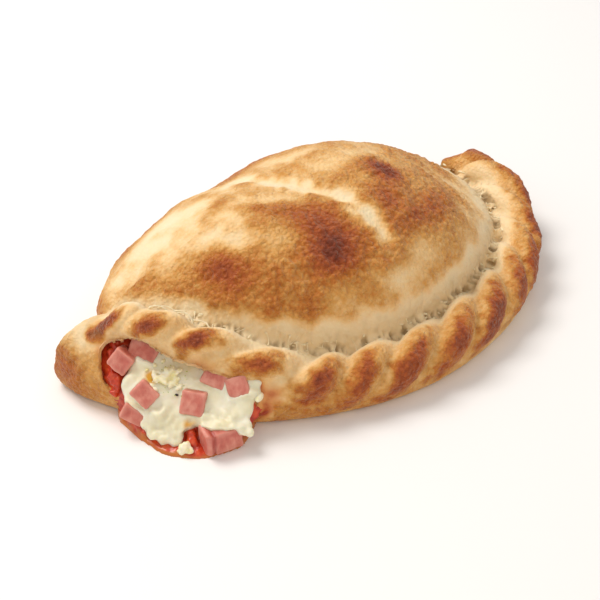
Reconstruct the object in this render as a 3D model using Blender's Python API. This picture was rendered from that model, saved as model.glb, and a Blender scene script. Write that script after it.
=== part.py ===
"""A baked calzone: a folded dough pocket with a roped rim, torn open at one
end where its cheese, sauce and diced ham run out.

Frame: metres, +Z up, origin on the table under the middle of the part.
+X runs along the fold from the torn end to the sealed tip, and the roped
rim curves round on the -Y side.
"""

import math

import bmesh
import bpy
from mathutils import Euler, Matrix, Vector

MM = 0.001

# Driving sizes, in millimetres
TORN_LENGTH = 110.0  # from the middle to the tip by the mouth
SEALED_LENGTH = 108.0  # and to the other tip
FOLD_Y = 5.0  # the line through the two tips
FRONT_REACH = 91.5  # from that line forward to the rim's edge
FRONT_POWER_TORN = 1.72  # roundness of the outline at the torn end
FRONT_POWER_SEALED = 2.16  # and at the sealed end
BACK_REACH = 36.0  # from the tip line back to the folded edge
BACK_SKEW = 0.22  # how much more of that lies at the torn end
BACK_POWER = 1.4
CORNER_TRIM = 0.08  # how much less it reaches back at the torn end's corner
PLAN_CENTRE = Vector((0.0, -24.0))  # where the rings of every loft close

CROWN_HEIGHT = 48.5  # the dome between its two humps
TORN_HUMP = 10.0  # how far the hump near the torn end stands above that
SEALED_HUMP = 11.5  # and the one near the sealed end
SEALED_DROP = 15.0  # how far the dome sinks towards the sealed tip
TORN_DROP = 9.0  # and towards the torn one
SHOULDER_DROP = 3.0  # behind the torn hump
SEALED_SHOULDER = 5.0  # how much fuller it stays over the sealed shoulder
SADDLE_DIP = 5.0  # where the crease between the humps meets the fold
DOME_INSET = 19.5  # from the outline in to the dome's foot along the rim
DOME_POWER = 2.45  # 2 is an ellipse, more is squarer
DOME_TUCK = 8.0  # how far the underside pulls in from the side
RIM_SHOULDER = 12.0  # the level where the dome is widest, along the rim,
TORN_SHOULDER = 20.0  # round the mouth
FOLD_SHOULDER = 15.0  # and along the fold
DOUGH_WALL = 5.0
FLANGE_HEIGHT = 13.0  # the two sheets pressed together under the rope
FLANGE_INSET = 1.5
CHEEK_HEIGHT = 30.0  # the same sheets swollen beside the torn mouth
FLANGE_TUCK = 5.0
GAP = 0.35  # left between pieces that touch

ROPE_RADIUS = 11.3
ROPE_INSET = 10.8  # from the outline to the rope's middle
ROPE_FIRST = math.radians(178.0)  # outline angles where the rope starts
ROPE_LAST = math.radians(373.5)  # and ends
ROPE_TAIL = math.radians(9.0)  # how much further its last twist is drawn out
ROPE_CLEARANCE = 0.6  # under the rope, which never quite reaches the table
LOBE_COUNT = 14
LOBE_DEPTH = 3.2
LOBE_LEAN = 1.25  # how far a lobe leans over the rope, in lobes
LOBE_CREST = 0.58  # where across a lobe its crest stands

MOUTH_MIDDLE = Vector((-75.0, -32.0))
MOUTH_HEADING = math.radians(-137.0)  # the way out of the torn mouth
MOUTH_HALF_WIDTH = 29.5
MOUTH_IN, MOUTH_OUT = -26.0, 30.0  # how far the cut reaches along that heading
MOUTH_LEVEL_LEFT, MOUTH_LEVEL_RIGHT = 22.8, 12.0  # heights of its two corners
MOUTH_ARCH = 7.0  # of its upper lip over those corners
LIP_LIFT = 23.0  # how far the mouth raises the rope over its place on the rim

SAUCE_DEPTH = 3.0  # over the pocket's floor
PUDDLE_REACH = 32.0  # from the middle of the mouth
PUDDLE_FILM = 1.6
PUDDLE_HEAP = 7.5  # how much thicker it is inside the mouth
TONGUE_REACH = 30.0  # of the cheese that runs out
TONGUE_HEIGHT = 25.0
TONGUE_TOE = 6.0  # its thickness near its edge
TONGUE_CLEARANCE = 0.5  # under it

# Ham: across the mouth, out of it, height, three edges, then in degrees the
# roll of the face that looks out, its lean back and its heading
HAM_DICE = (
    (-21.9, 7.0, 21.7, 8.0, 8.0, 7.6, 34.0, -24.0, -50.0),
    (-15.0, 2.2, 21.9, 11.0, 8.0, 8.5, 14.0, -42.0, -48.0),
    (-12.3, 16.0, 14.8, 8.8, 8.0, 7.6, 43.0, -34.0, -42.0),
    (5.0, 16.4, 13.0, 9.0, 8.5, 9.0, 3.0, -31.0, -50.0),
    (-16.3, 18.0, 7.1, 9.2, 7.0, 6.0, 28.0, -22.0, -44.0),
    (11.2, 8.0, 18.3, 9.4, 8.0, 8.0, 24.0, -38.0, -42.0),
    (19.2, 9.9, 16.1, 8.4, 8.0, 8.0, -18.0, -36.0, -44.0),
    (15.3, 24.2, 5.2, 13.8, 8.0, 9.2, 0.0, 0.0, -12.0),
)


def smoothstep(low, high, value):
    share = min(1.0, max(0.0, (value - low) / (high - low)))
    return share * share * (3.0 - 2.0 * share)


def mix(first, second, share):
    return first + (second - first) * share


def signed_power(value, power):
    return math.copysign(abs(value) ** power, value)


def hill(x, y, centre_x, centre_y, radius_x, radius_y):
    """A round hump of height one, by plan position."""
    return math.exp(-(((x - centre_x) / radius_x) ** 2) - ((y - centre_y) / radius_y) ** 2)


# The outline in plan goes by an angle, which is 0 at the sealed tip, turns
# back over the fold to pi at the torn tip, and on along the rim to 2 pi.


def outline(angle):
    cosine, sine = math.cos(angle), math.sin(angle)
    if sine >= 0:
        power = BACK_POWER
        reach = BACK_REACH * (1.0 - BACK_SKEW * cosine)
    else:
        power = FRONT_POWER_TORN if cosine < 0 else FRONT_POWER_SEALED
        reach = FRONT_REACH
    length = TORN_LENGTH if cosine < 0 else SEALED_LENGTH
    along = length * signed_power(cosine, 2.0 / power)
    if sine >= 0:
        reach *= 1.0 - CORNER_TRIM * hill(along, 0.0, -72.0, 0.0, 26.0, 1.0)
    return Vector((along, FOLD_Y + reach * signed_power(sine, 2.0 / power)))


def outward(angle):
    """The way out to the outline from the spine, a shallow bow inside it."""
    edge = outline(angle)
    spine = Vector((0.7 * edge.x, PLAN_CENTRE.y + 22.0 * (edge.x / SEALED_LENGTH) ** 2))
    return (edge - spine).normalized()


def inset_point(angle, inset):
    return outline(angle) - outward(angle) * inset


def torn(angle):
    """1 round the mouth and the torn tip, 0 along the sealed rim."""
    turn = math.degrees(angle) % 360.0
    return smoothstep(160.0, 185.0, turn) * (1.0 - smoothstep(212.0, 252.0, turn))


def on_the_fold(angle):
    """1 along the folded edge, 0 along the rim."""
    turn = math.degrees(angle) % 360.0
    return smoothstep(5.0, 50.0, turn) * (1.0 - smoothstep(133.0, 172.0, turn))


def crown(x, y):
    """Height of the top sheet away from its edges."""
    height = CROWN_HEIGHT
    height += TORN_HUMP * hill(x, y, -36.0, -8.0, 30.0, 45.0)
    height += SEALED_HUMP * hill(x, y, 16.0, -8.0, 27.0, 45.0)
    height -= SEALED_DROP * smoothstep(35.0, 80.0, x)
    height -= TORN_DROP * (1.0 - smoothstep(-105.0, -62.0, x))
    height -= SHOULDER_DROP * hill(x, y, -58.0, 26.0, 30.0, 16.0)
    height += SEALED_SHOULDER * hill(x, y, 64.0, 4.0, 16.0, 14.0)
    height -= SADDLE_DIP * hill(x, y, -17.0, 30.0, 10.0, 15.0)
    return height


# Each loft below maps a sphere: the angle is its longitude, and the climb
# goes from 0 under the middle to 1 over it.


def dome_point(angle, climb, grow):
    folded, ripped = on_the_fold(angle), torn(angle)
    edge = inset_point(angle, mix(DOME_INSET, 0.0, folded) - grow)
    widest = mix(mix(RIM_SHOULDER, TORN_SHOULDER, ripped), FOLD_SHOULDER, folded)
    reach = (edge - PLAN_CENTRE).length
    if climb < 0.25:
        turn = smoothstep(0.1, 0.25, climb) * math.pi / 2
        tuck = DOME_TUCK * (1.0 - math.sin(turn))
        plan = PLAN_CENTRE.lerp(edge, min(1.0, climb / 0.1) * (reach - tuck) / reach)
        return Vector((plan.x, plan.y, (widest + grow) * (1.0 - math.cos(turn)) - grow))
    turn = (climb - 0.25) / 0.75 * math.pi / 2
    plan = PLAN_CENTRE.lerp(edge, math.cos(turn) ** (2.0 / DOME_POWER))
    top = crown(plan.x, plan.y) + grow
    return Vector((plan.x, plan.y, mix(widest, top, math.sin(turn) ** (2.0 / DOME_POWER))))


def slab_point(angle, climb, grow):
    """The pressed sheets of the rim, which swell round the torn mouth."""
    ripped = torn(angle)
    height = mix(FLANGE_HEIGHT, CHEEK_HEIGHT, ripped)
    widest = mix(0.35 * FLANGE_HEIGHT, 0.3 * CHEEK_HEIGHT, ripped)
    rounding = mix(0.5 * FLANGE_HEIGHT, 0.57 * CHEEK_HEIGHT, ripped)
    edge = inset_point(angle, mix(FLANGE_INSET, 0.0, ripped) - grow)
    reach = (edge - PLAN_CENTRE).length
    if climb < 0.1:
        spread = (climb / 0.1) * (reach - FLANGE_TUCK) / reach
        level = -grow
    elif climb < 0.4:
        turn = (climb - 0.1) / 0.3 * math.pi / 2
        spread = (reach - FLANGE_TUCK * (1.0 - math.sin(turn))) / reach
        level = (widest + grow) * (1.0 - math.cos(turn)) - grow
    elif climb < 0.8:
        turn = (climb - 0.4) / 0.4 * math.pi / 2
        spread = (reach - rounding * (1.0 - math.cos(turn))) / reach
        level = mix(widest, height + grow, math.sin(turn))
    else:
        spread = (1.0 - climb) / 0.2 * (reach - rounding) / reach
        level = height + grow
    plan = PLAN_CENTRE.lerp(edge, spread)
    return Vector((plan.x, plan.y, level))


def loft(surface, around, upward):
    """A closed mesh made from a sphere, each point moved to the surface."""
    mesh = bmesh.new()
    bmesh.ops.create_uvsphere(mesh, u_segments=around, v_segments=upward, radius=1.0)
    for vertex in mesh.verts:
        unit = vertex.co.normalized()
        angle = math.atan2(unit.y, unit.x) % (2.0 * math.pi)
        climb = 0.5 + math.asin(max(-1.0, min(1.0, unit.z))) / math.pi
        vertex.co = surface(angle, climb) * MM
    return mesh


# The rope


def rope_stations(count):
    """Outline angles at equal steps along the rope, torn tip first."""
    fine = 600
    angles = [mix(ROPE_FIRST, ROPE_LAST, i / fine) for i in range(fine + 1)]
    lengths = [0.0]
    for before, after in zip(angles, angles[1:]):
        step = inset_point(after, ROPE_INSET) - inset_point(before, ROPE_INSET)
        lengths.append(lengths[-1] + step.length)
    stations = []
    at = 0
    for i in range(count + 1):
        wanted = lengths[-1] * i / count
        while at < fine - 1 and lengths[at + 1] < wanted:
            at += 1
        share = (wanted - lengths[at]) / (lengths[at + 1] - lengths[at])
        stations.append(mix(angles[at], angles[at + 1], share))
    return stations


def rope_frame(lobe, stations):
    """Middle, outward direction and thickness of the rope at a lobe number."""
    share = min(0.99999, max(0.0, lobe / LOBE_COUNT)) * (len(stations) - 1)
    index = int(share)
    angle = mix(stations[index], stations[index + 1], share - index)
    angle += ROPE_TAIL * max(0.0, (lobe - 12.4) / 1.6) ** 1.5
    lift = smoothstep(-0.6, 1.2, lobe) * (1.0 - smoothstep(1.5, 5.2, lobe))
    middle = inset_point(angle, ROPE_INSET + 4.0 * lift)
    start, end = smoothstep(-0.2, 1.6, lobe), 1.0 - smoothstep(12.9, 14.0, lobe)
    height = mix(10.0, 10.0 + LIP_LIFT, lift) + 4.8 * smoothstep(11.0, 12.8, lobe)
    height -= 1.5 * smoothstep(13.0, 13.8, lobe)
    height = mix(18.0, height, smoothstep(-0.5, 1.0, lobe))
    thickness = ROPE_RADIUS * mix(1.0, 0.75, lift) * mix(0.45, 1.0, start) * mix(0.6, 1.0, end)
    return Vector((middle.x, middle.y, height)), outward(angle), thickness


def lobe_bulge(across):
    """Height of a lobe at a share of its width, with sharp valleys at 0 and 1."""
    side = across / LOBE_CREST if across < LOBE_CREST else (1.0 - across) / (1.0 - LOBE_CREST)
    return math.sin(side * math.pi / 2) ** 0.75


def rope_point(lobe_line, turn, grow, stations):
    """lobe_line counts lobes along their leaning valleys; turn goes round the
    rope from its outer side over the top."""
    degrees = math.degrees(turn)
    if degrees < 180.0:
        lean = LOBE_LEAN * (degrees - 60.0) / 180.0
    else:
        lean = LOBE_LEAN * mix(120.0, -150.0, (degrees - 180.0) / 90.0) / 180.0
    lean *= smoothstep(0.0, 2.2, lobe_line) * (1.0 - smoothstep(12.2, 14.0, lobe_line))
    lobe = min(LOBE_COUNT, max(0.0, lobe_line + lean))
    middle, outer, thickness = rope_frame(lobe, stations)
    fade = smoothstep(0.2, 2.2, lobe) * (1.0 - smoothstep(13.0, 13.9, lobe))
    raised = lobe_bulge(lobe_line % 1.0) - 1.0
    upper = 0.5 + 0.5 * math.sin(turn + math.radians(15.0))
    radius = thickness + raised * LOBE_DEPTH * fade * mix(0.35, 1.0, upper) + grow
    sideways = math.cos(turn) * radius
    up = math.sin(turn) * radius
    if up < 0:
        up *= min(1.0, (middle.z - ROPE_CLEARANCE) / thickness)
    return Vector((middle.x + outer.x * sideways, middle.y + outer.y * sideways, middle.z + up))


def rope(around, steps_a_lobe, grow):
    stations = rope_stations(240)
    mesh = bmesh.new()
    rows = LOBE_COUNT * steps_a_lobe
    bmesh.ops.create_grid(mesh, x_segments=around, y_segments=rows, size=0.5)
    for vertex in mesh.verts:
        turn = (vertex.co.x + 0.5) * 2.0 * math.pi - math.radians(90.0)
        vertex.co = rope_point((vertex.co.y + 0.5) * LOBE_COUNT, turn, grow, stations) * MM
    bmesh.ops.remove_doubles(mesh, verts=mesh.verts, dist=0.00001)
    bmesh.ops.holes_fill(mesh, edges=mesh.edges)
    bmesh.ops.recalc_face_normals(mesh, faces=mesh.faces)
    if mesh.calc_volume(signed=True) < 0:
        bmesh.ops.reverse_faces(mesh, faces=mesh.faces)
    return mesh


# The pocket inside and the torn mouth into it


def hollow_point(angle, climb, grow):
    return dome_point(angle, climb, grow - DOUGH_WALL)


def mouth_place(across, out, height):
    """A point given by its place across the mouth, out of it and up."""
    heading = Vector((math.cos(MOUTH_HEADING), math.sin(MOUTH_HEADING)))
    plan = MOUTH_MIDDLE + heading * out + Vector((-heading.y, heading.x)) * across
    return Vector((plan.x, plan.y, height))


def mouth_point(angle, climb, grow):
    """The angle goes round the opening and the climb from inside to outside."""
    cosine, sine = math.cos(angle), math.sin(angle)
    half = MOUTH_HALF_WIDTH + grow
    if sine >= 0:
        across = half * cosine
        level = mix(MOUTH_LEVEL_LEFT, MOUTH_LEVEL_RIGHT, 0.5 + 0.5 * cosine)
        height = level + (MOUTH_ARCH + grow) * sine ** 0.7
    else:
        side = signed_power(cosine, 0.6)
        across = half * side
        level = mix(MOUTH_LEVEL_LEFT, MOUTH_LEVEL_RIGHT, 0.5 + 0.5 * side)
        depth = level - DOUGH_WALL + 1.0 + grow
        height = level - depth * (-sine) ** 0.6
        across += 12.0 * smoothstep(0.2, 1.0, -sine) * (1.0 - smoothstep(-1.0, 0.5, cosine))
    spread = max(0.0, math.sin(math.pi * climb)) ** 0.3
    out = mix(MOUTH_IN - grow, MOUTH_OUT + grow, climb)
    return mouth_place(across * spread, out, mix(14.0, height, spread))


# The filling


def flow_edge(angle, reach):
    """Plan outline of what ran out, by the angle round the mouth's middle."""
    ahead = math.cos(angle - MOUTH_HEADING)
    aside = math.sin(angle - MOUTH_HEADING)
    return MOUTH_MIDDLE + Vector((math.cos(angle), math.sin(angle))) * (
        reach * (0.84 + 0.15 * ahead + 0.14 * aside)
    )


def puddle_point(angle, climb, grow):
    """Sauce: a film on the table that thickens up into the mouth."""
    edge = flow_edge(angle, PUDDLE_REACH + grow)
    if climb < 0.2:
        plan = MOUTH_MIDDLE.lerp(edge, climb / 0.2)
        return Vector((plan.x, plan.y, 0.0))
    share = 1.0 - (climb - 0.2) / 0.8
    plan = MOUTH_MIDDLE.lerp(edge, share)
    heading = Vector((math.cos(MOUTH_HEADING), math.sin(MOUTH_HEADING)))
    out = (plan - MOUTH_MIDDLE).dot(heading)
    rounding = (1.0 - share ** 12) ** 0.5
    height = PUDDLE_FILM + PUDDLE_HEAP * (1.0 - smoothstep(9.0, 24.0, out))
    return Vector((plan.x, plan.y, height * rounding + grow))


def tongue_point(angle, climb, grow):
    """Cheese: a thick tongue down out of the mouth."""
    middle = mouth_place(0.0, -8.0, 0.0).xy
    edge = flow_edge(angle, TONGUE_REACH + grow)
    if climb < 0.2:
        plan = middle.lerp(edge, climb / 0.2)
        return Vector((plan.x, plan.y, TONGUE_CLEARANCE - grow))
    share = 1.0 - (climb - 0.2) / 0.8
    plan = middle.lerp(edge, share)
    height = mix(TONGUE_HEIGHT, TONGUE_TOE, smoothstep(0.1, 0.95, share))
    height *= (1.0 - share ** 8) ** 0.5
    return Vector((plan.x, plan.y, TONGUE_CLEARANCE + height + grow))


# Putting it together


def clear_scene():
    for obj in list(bpy.data.objects):
        bpy.data.objects.remove(obj, do_unlink=True)


def add_object(name, mesh):
    """Triangles only, since a twisted four-sided face has no one true surface."""
    bmesh.ops.triangulate(mesh, faces=mesh.faces)
    data = bpy.data.meshes.new(name)
    mesh.to_mesh(data)
    mesh.free()
    obj = bpy.data.objects.new(name, data)
    bpy.context.scene.collection.objects.link(obj)
    return obj


def combine(target, tool, operation):
    """Apply an exact boolean to the target and throw the tool away."""
    modifier = target.modifiers.new("combine", "BOOLEAN")
    modifier.object = tool
    modifier.operation = operation
    modifier.solver = "EXACT"
    depsgraph = bpy.context.evaluated_depsgraph_get()
    result = bpy.data.meshes.new_from_object(target.evaluated_get(depsgraph))
    target.modifiers.clear()
    old = target.data
    target.data = result
    bpy.data.meshes.remove(old)
    bpy.data.objects.remove(tool, do_unlink=True)
    return target


def lofted(name, surface, grow, around, upward):
    return add_object(name, loft(lambda angle, climb: surface(angle, climb, grow), around, upward))


def block(name, size, matrix, bevel=0.0):
    mesh = bmesh.new()
    bmesh.ops.create_cube(mesh, size=1.0)
    bmesh.ops.scale(mesh, vec=size * MM, verts=mesh.verts)
    if bevel:
        bmesh.ops.bevel(mesh, geom=mesh.edges, offset=bevel * MM, segments=1, affect="EDGES")
    bmesh.ops.transform(mesh, matrix=matrix, verts=mesh.verts)
    return add_object(name, mesh)


def pocket(name, grow):
    return lofted(name, hollow_point, grow, 26, 11)


def crust_solid(name, grow):
    """The dough, swollen by grow so that fillings can be cut clear of it."""
    crust = lofted(name, dome_point, grow, 46, 17)
    combine(crust, lofted("tool", slab_point, grow, 44, 12), "UNION")
    combine(crust, lofted("tool", mouth_point, -grow, 28, 8), "DIFFERENCE")
    combine(crust, add_object("tool", rope(11, 5, grow)), "UNION")
    combine(crust, pocket("tool", 0.0), "DIFFERENCE")
    return crust


def sauce_solid(name, grow):
    """A layer along the pocket's floor that runs out as a puddle."""
    sauce = pocket(name, grow - GAP)
    top = DOUGH_WALL + SAUCE_DEPTH + grow
    lid = Matrix.Translation(Vector((0.0, 0.0, top + 40.0)) * MM)
    combine(sauce, block("tool", Vector((400.0, 400.0, 80.0)), lid), "DIFFERENCE")
    combine(sauce, lofted("tool", puddle_point, grow, 32, 10), "UNION")
    return sauce


def dice(name, piece, grow):
    """One cut of ham from its place across the mouth, size and turns."""
    across, out, height, length, width, depth, roll, lean, heading = piece
    turn = Euler((math.radians(lean), math.radians(roll), math.radians(heading)), "YXZ")
    matrix = Matrix.Translation(mouth_place(across, out, height) * MM) @ turn.to_matrix().to_4x4()
    size = Vector((length, width, depth)) + Vector((grow, grow, grow)) * 2.0
    return block(name, size, matrix, 0.9)


def paint(obj, colour, roughness):
    material = bpy.data.materials.new(obj.name)
    material.use_nodes = True
    shader = material.node_tree.nodes["Principled BSDF"]
    shader.inputs["Base Color"].default_value = (*colour, 1.0)
    shader.inputs["Roughness"].default_value = roughness
    obj.data.materials.clear()
    obj.data.materials.append(material)
    for face in obj.data.polygons:
        face.material_index = 0


def settle(objects):
    """Put the origin under the middle of the whole part."""
    points = [vertex.co for obj in objects for vertex in obj.data.vertices]
    low = Vector([min(point[axis] for point in points) for axis in range(3)])
    high = Vector([max(point[axis] for point in points) for axis in range(3)])
    middle = (low + high) * 0.5
    shift = Matrix.Translation((-middle.x, -middle.y, -low.z))
    for obj in objects:
        obj.data.transform(shift)


def main():
    clear_scene()
    crust = crust_solid("crust", 0.0)
    sauce = sauce_solid("sauce", 0.0)
    combine(sauce, crust_solid("tool", GAP), "DIFFERENCE")
    cheese = pocket("cheese", -GAP)
    combine(cheese, lofted("tool", tongue_point, 0.0, 32, 10), "UNION")
    combine(cheese, crust_solid("tool", GAP), "DIFFERENCE")
    combine(cheese, sauce_solid("tool", GAP), "DIFFERENCE")
    ham = []
    for index, piece in enumerate(HAM_DICE):
        for around in [crust, sauce, cheese] + ham:
            combine(around, dice("tool", piece, GAP), "DIFFERENCE")
        ham.append(dice("ham_%d" % (index + 1), piece, 0.0))
    paint(crust, (0.58, 0.31, 0.11), 0.7)
    paint(sauce, (0.46, 0.06, 0.02), 0.35)
    paint(cheese, (0.84, 0.80, 0.62), 0.35)
    for piece in ham:
        paint(piece, (0.72, 0.28, 0.26), 0.45)
    settle([crust, sauce, cheese] + ham)


main()
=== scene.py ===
import math
import random

import bmesh
import bpy
import numpy as np
from mathutils import Euler, Matrix, Vector, kdtree, noise


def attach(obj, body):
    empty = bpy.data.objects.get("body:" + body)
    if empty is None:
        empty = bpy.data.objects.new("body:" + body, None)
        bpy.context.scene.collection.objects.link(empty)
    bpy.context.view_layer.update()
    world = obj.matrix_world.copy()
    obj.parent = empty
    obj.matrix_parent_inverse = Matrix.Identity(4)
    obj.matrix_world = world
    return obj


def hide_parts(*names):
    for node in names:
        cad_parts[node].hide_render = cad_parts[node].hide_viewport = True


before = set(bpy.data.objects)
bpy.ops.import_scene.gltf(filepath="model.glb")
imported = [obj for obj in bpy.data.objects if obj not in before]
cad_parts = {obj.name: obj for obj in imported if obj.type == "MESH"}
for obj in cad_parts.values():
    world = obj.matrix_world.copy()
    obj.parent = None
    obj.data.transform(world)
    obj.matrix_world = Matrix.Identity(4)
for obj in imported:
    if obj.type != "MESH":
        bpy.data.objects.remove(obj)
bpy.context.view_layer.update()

mm = 0.001

# Everything is shaped in millimetres, in the dough's own axes, and moved at the
# end by settle, which puts the origin under the middle of the part.


# Small helpers

def smoothStep(low, high, value):
    share = min(1.0, max(0.0, (value - low) / (high - low)))
    return share * share * (3.0 - 2.0 * share)


def mix(first, second, share):
    return first + (second - first) * share


def signedPower(value, power):
    return math.copysign(abs(value) ** power, value)


def hill(x, y, centreX, centreY, radiusX, radiusY):
    return math.exp(-(((x - centreX) / radiusX) ** 2) - ((y - centreY) / radiusY) ** 2)


def smoothSteps(low, high, values):  # the same for a whole array
    share = np.clip((values - low) / (high - low), 0.0, 1.0)
    return share * share * (3.0 - 2.0 * share)


def noiseOver(points, size, seed):  # smooth noise, about -0.5 to 0.5
    offset = Vector((17.3 * seed, -9.1 * seed, 5.7 * seed))
    return np.array([noise.noise(Vector(p) / size + offset) for p in points])


def cellsOver(points, size, seed):  # distance to the nearest of many scattered seeds, and that seed's luck
    offset = Vector((11.7 * seed, -3.1 * seed, 6.3 * seed))
    near, luck = np.empty(len(points)), np.empty(len(points))
    for index, point in enumerate(points):
        distances, places = noise.voronoi(Vector(point) / size + offset)
        near[index] = distances[0]
        luck[index] = noise.cell(places[0] * 7.0 + offset)
    return near, luck


def streaksOver(points, capsules, warp):  # sum of soft patches, each round a short line
    total = np.zeros(len(points))
    for start, end, reach, strength in capsules:
        start, end = np.array(start), np.array(end)
        along = end - start
        share = np.clip((points - start) @ along / max(float(along @ along), 1e-6), 0.0, 1.0)
        away = np.linalg.norm(points - start - share[:, None] * along, axis=1) / reach
        total += strength * np.exp(-np.clip(away + warp, 0.0, None) ** 2)
    return total


def addObject(name, mesh):
    data = bpy.data.meshes.new(name)
    mesh.to_mesh(data)
    mesh.free()
    obj = bpy.data.objects.new(name, data)
    bpy.context.scene.collection.objects.link(obj)
    return obj


def applyModifiers(obj):
    depsgraph = bpy.context.evaluated_depsgraph_get()
    result = bpy.data.meshes.new_from_object(obj.evaluated_get(depsgraph))
    obj.modifiers.clear()
    old = obj.data
    obj.data = result
    bpy.data.meshes.remove(old)
    return obj


def combine(target, tool, operation):
    modifier = target.modifiers.new("combine", "BOOLEAN")
    modifier.object = tool
    modifier.operation = operation
    modifier.solver = "MANIFOLD"
    applyModifiers(target)
    bpy.data.objects.remove(tool, do_unlink=True)
    return target


def joinInto(target, others):
    mesh = bmesh.new()
    mesh.from_mesh(target.data)
    for other in others:
        mesh.from_mesh(other.data)
        bpy.data.objects.remove(other, do_unlink=True)
    mesh.to_mesh(target.data)
    mesh.free()
    return target


def skinOver(obj, voxel):  # one skin round everything that overlaps
    modifier = obj.modifiers.new("skin", "REMESH")
    modifier.mode = "VOXEL"
    modifier.voxel_size = voxel
    return applyModifiers(obj)


def getPoints(obj):
    values = np.empty(len(obj.data.vertices) * 3)
    obj.data.vertices.foreach_get("co", values)
    return values.reshape(-1, 3)


def setPoints(obj, points):
    obj.data.vertices.foreach_set("co", points.ravel())
    obj.data.update()


def getNormals(obj):
    values = np.empty(len(obj.data.vertices) * 3)
    obj.data.vertex_normals.foreach_get("vector", values)
    return values.reshape(-1, 3)


def getEdges(obj):
    values = np.empty(len(obj.data.edges) * 2, dtype=np.int32)
    obj.data.edges.foreach_get("vertices", values)
    return values.reshape(-1, 2)


def smoothed(values, edges, times, share=0.5):  # each point moves towards its neighbours
    flat = values.reshape(len(values), -1).copy()
    first, second = edges[:, 0], edges[:, 1]
    count = np.bincount(first, minlength=len(flat)) + np.bincount(second, minlength=len(flat))
    count = np.maximum(count, 1)
    for _ in range(times):
        for column in range(flat.shape[1]):
            line = flat[:, column]
            total = np.bincount(first, weights=line[second], minlength=len(line))
            total += np.bincount(second, weights=line[first], minlength=len(line))
            flat[:, column] = mix(line, total / count, share)
    return flat.reshape(values.shape)


def setAttribute(obj, name, values):
    layer = obj.data.attributes.new(name, "FLOAT", "POINT")
    layer.data.foreach_set("value", np.clip(values, 0.0, 1.0).astype(np.float32))


def thinOut(obj, hidden, kept):  # fewer faces where little can be seen
    group = obj.vertex_groups.new(name="hidden")
    group.add([int(i) for i in np.nonzero(hidden)[0]], 1.0, "REPLACE")
    modifier = obj.modifiers.new("thin", "DECIMATE")
    modifier.ratio = 1.0 - (1.0 - kept) * float(hidden.mean())
    modifier.vertex_group = "hidden"
    modifier.vertex_group_factor = 1000.0
    applyModifiers(obj)
    obj.vertex_groups.clear()
    return obj


def loft(surface, around, upward):  # a sphere whose points are moved to the surface
    mesh = bmesh.new()
    bmesh.ops.create_uvsphere(mesh, u_segments=around, v_segments=upward, radius=1.0)
    for vertex in mesh.verts:
        unit = vertex.co.normalized()
        angle = math.atan2(unit.y, unit.x) % (2.0 * math.pi)
        climb = 0.5 + math.asin(max(-1.0, min(1.0, unit.z))) / math.pi
        vertex.co = surface(angle, climb)
    return mesh


def addBlob(mesh, place, radii, heading=0.0, lean=0.0, detail=3):
    turn = Euler((lean, 0.0, heading)).to_matrix().to_4x4()
    size = Matrix.Diagonal((*radii, 1.0))
    bmesh.ops.create_icosphere(
        mesh, subdivisions=detail, radius=1.0, matrix=Matrix.Translation(place) @ turn @ size
    )


def addStrand(mesh, start, end, radius, bow):  # a torn string of dough or cheese, thicker at both ends
    made = bmesh.ops.create_grid(mesh, x_segments=7, y_segments=9, size=0.5)["verts"]
    along = end - start
    turn = along.to_track_quat("Z", "Y").to_matrix()
    for vertex in made:
        share = vertex.co.y + 0.5
        angle = (vertex.co.x + 0.5) * 2.0 * math.pi
        width = radius * (0.6 + 1.3 * abs(2.0 * share - 1.0) ** 2.5)
        ring = turn @ Vector((math.cos(angle) * width, math.sin(angle) * width, 0.0))
        vertex.co = start + along * share + ring + bow * (4.0 * share * (1.0 - share))
    bmesh.ops.remove_doubles(mesh, verts=made, dist=0.0001)


def closeUp(mesh):
    bmesh.ops.holes_fill(mesh, edges=mesh.edges)
    bmesh.ops.recalc_face_normals(mesh, faces=mesh.faces)
    return mesh


def reachOf(corners, centre):  # how far a closed outline lies from its centre, by direction
    polar = sorted((math.atan2(y - centre[1], x - centre[0]), math.hypot(x - centre[0], y - centre[1]))
                   for x, y in corners)
    angles = [a for a, _ in polar]
    reaches = [r for _, r in polar]
    angles = [angles[-1] - 2.0 * math.pi, *angles, angles[0] + 2.0 * math.pi]
    reaches = [reaches[-1], *reaches, reaches[0]]
    return lambda angle: float(np.interp(math.remainder(angle, 2.0 * math.pi), angles, reaches))


def settleIn(obj):  # from millimetres in the dough's axes to metres in the frame
    obj.data.transform(Matrix.Translation(settle) @ Matrix.Scale(mm, 4))
    obj.data.shade_smooth()
    return obj


# Shape of the dough

dough = {
    "tornLength": 110.0,  # from the middle to the tip by the mouth
    "sealedLength": 108.0,
    "foldY": 5.0,  # the line through the two tips
    "frontReach": 91.5,
    "frontPowerTorn": 1.72,
    "frontPowerSealed": 2.16,
    "backReach": 36.0,
    "backSkew": 0.22,
    "backPower": 1.4,
    "cornerTrim": 0.08,
    "planCentre": Vector((0.0, -24.0)),
    "crownHeight": 48.5,
    "tornHump": 10.0,
    "sealedHump": 11.5,
    "sealedDrop": 15.0,
    "tornDrop": 9.0,
    "shoulderDrop": 3.0,
    "saddleDip": 5.0,
    "sealedShoulder": 5.0,
    "domeInset": 19.5,
    "domePower": 2.45,
    "domeTuck": 8.0,
    "wall": 5.0,
    "flangeHeight": 13.0,
    "flangeTuck": 5.0,
    "cheekTuck": 7.0,
    "cheekEnd": 106.3,
    "ropeEnd": 105.9,
    "frontEnd": 85.9,
    "cheekHeight": 30.0,
    "voxel": 0.66,
}

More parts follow.
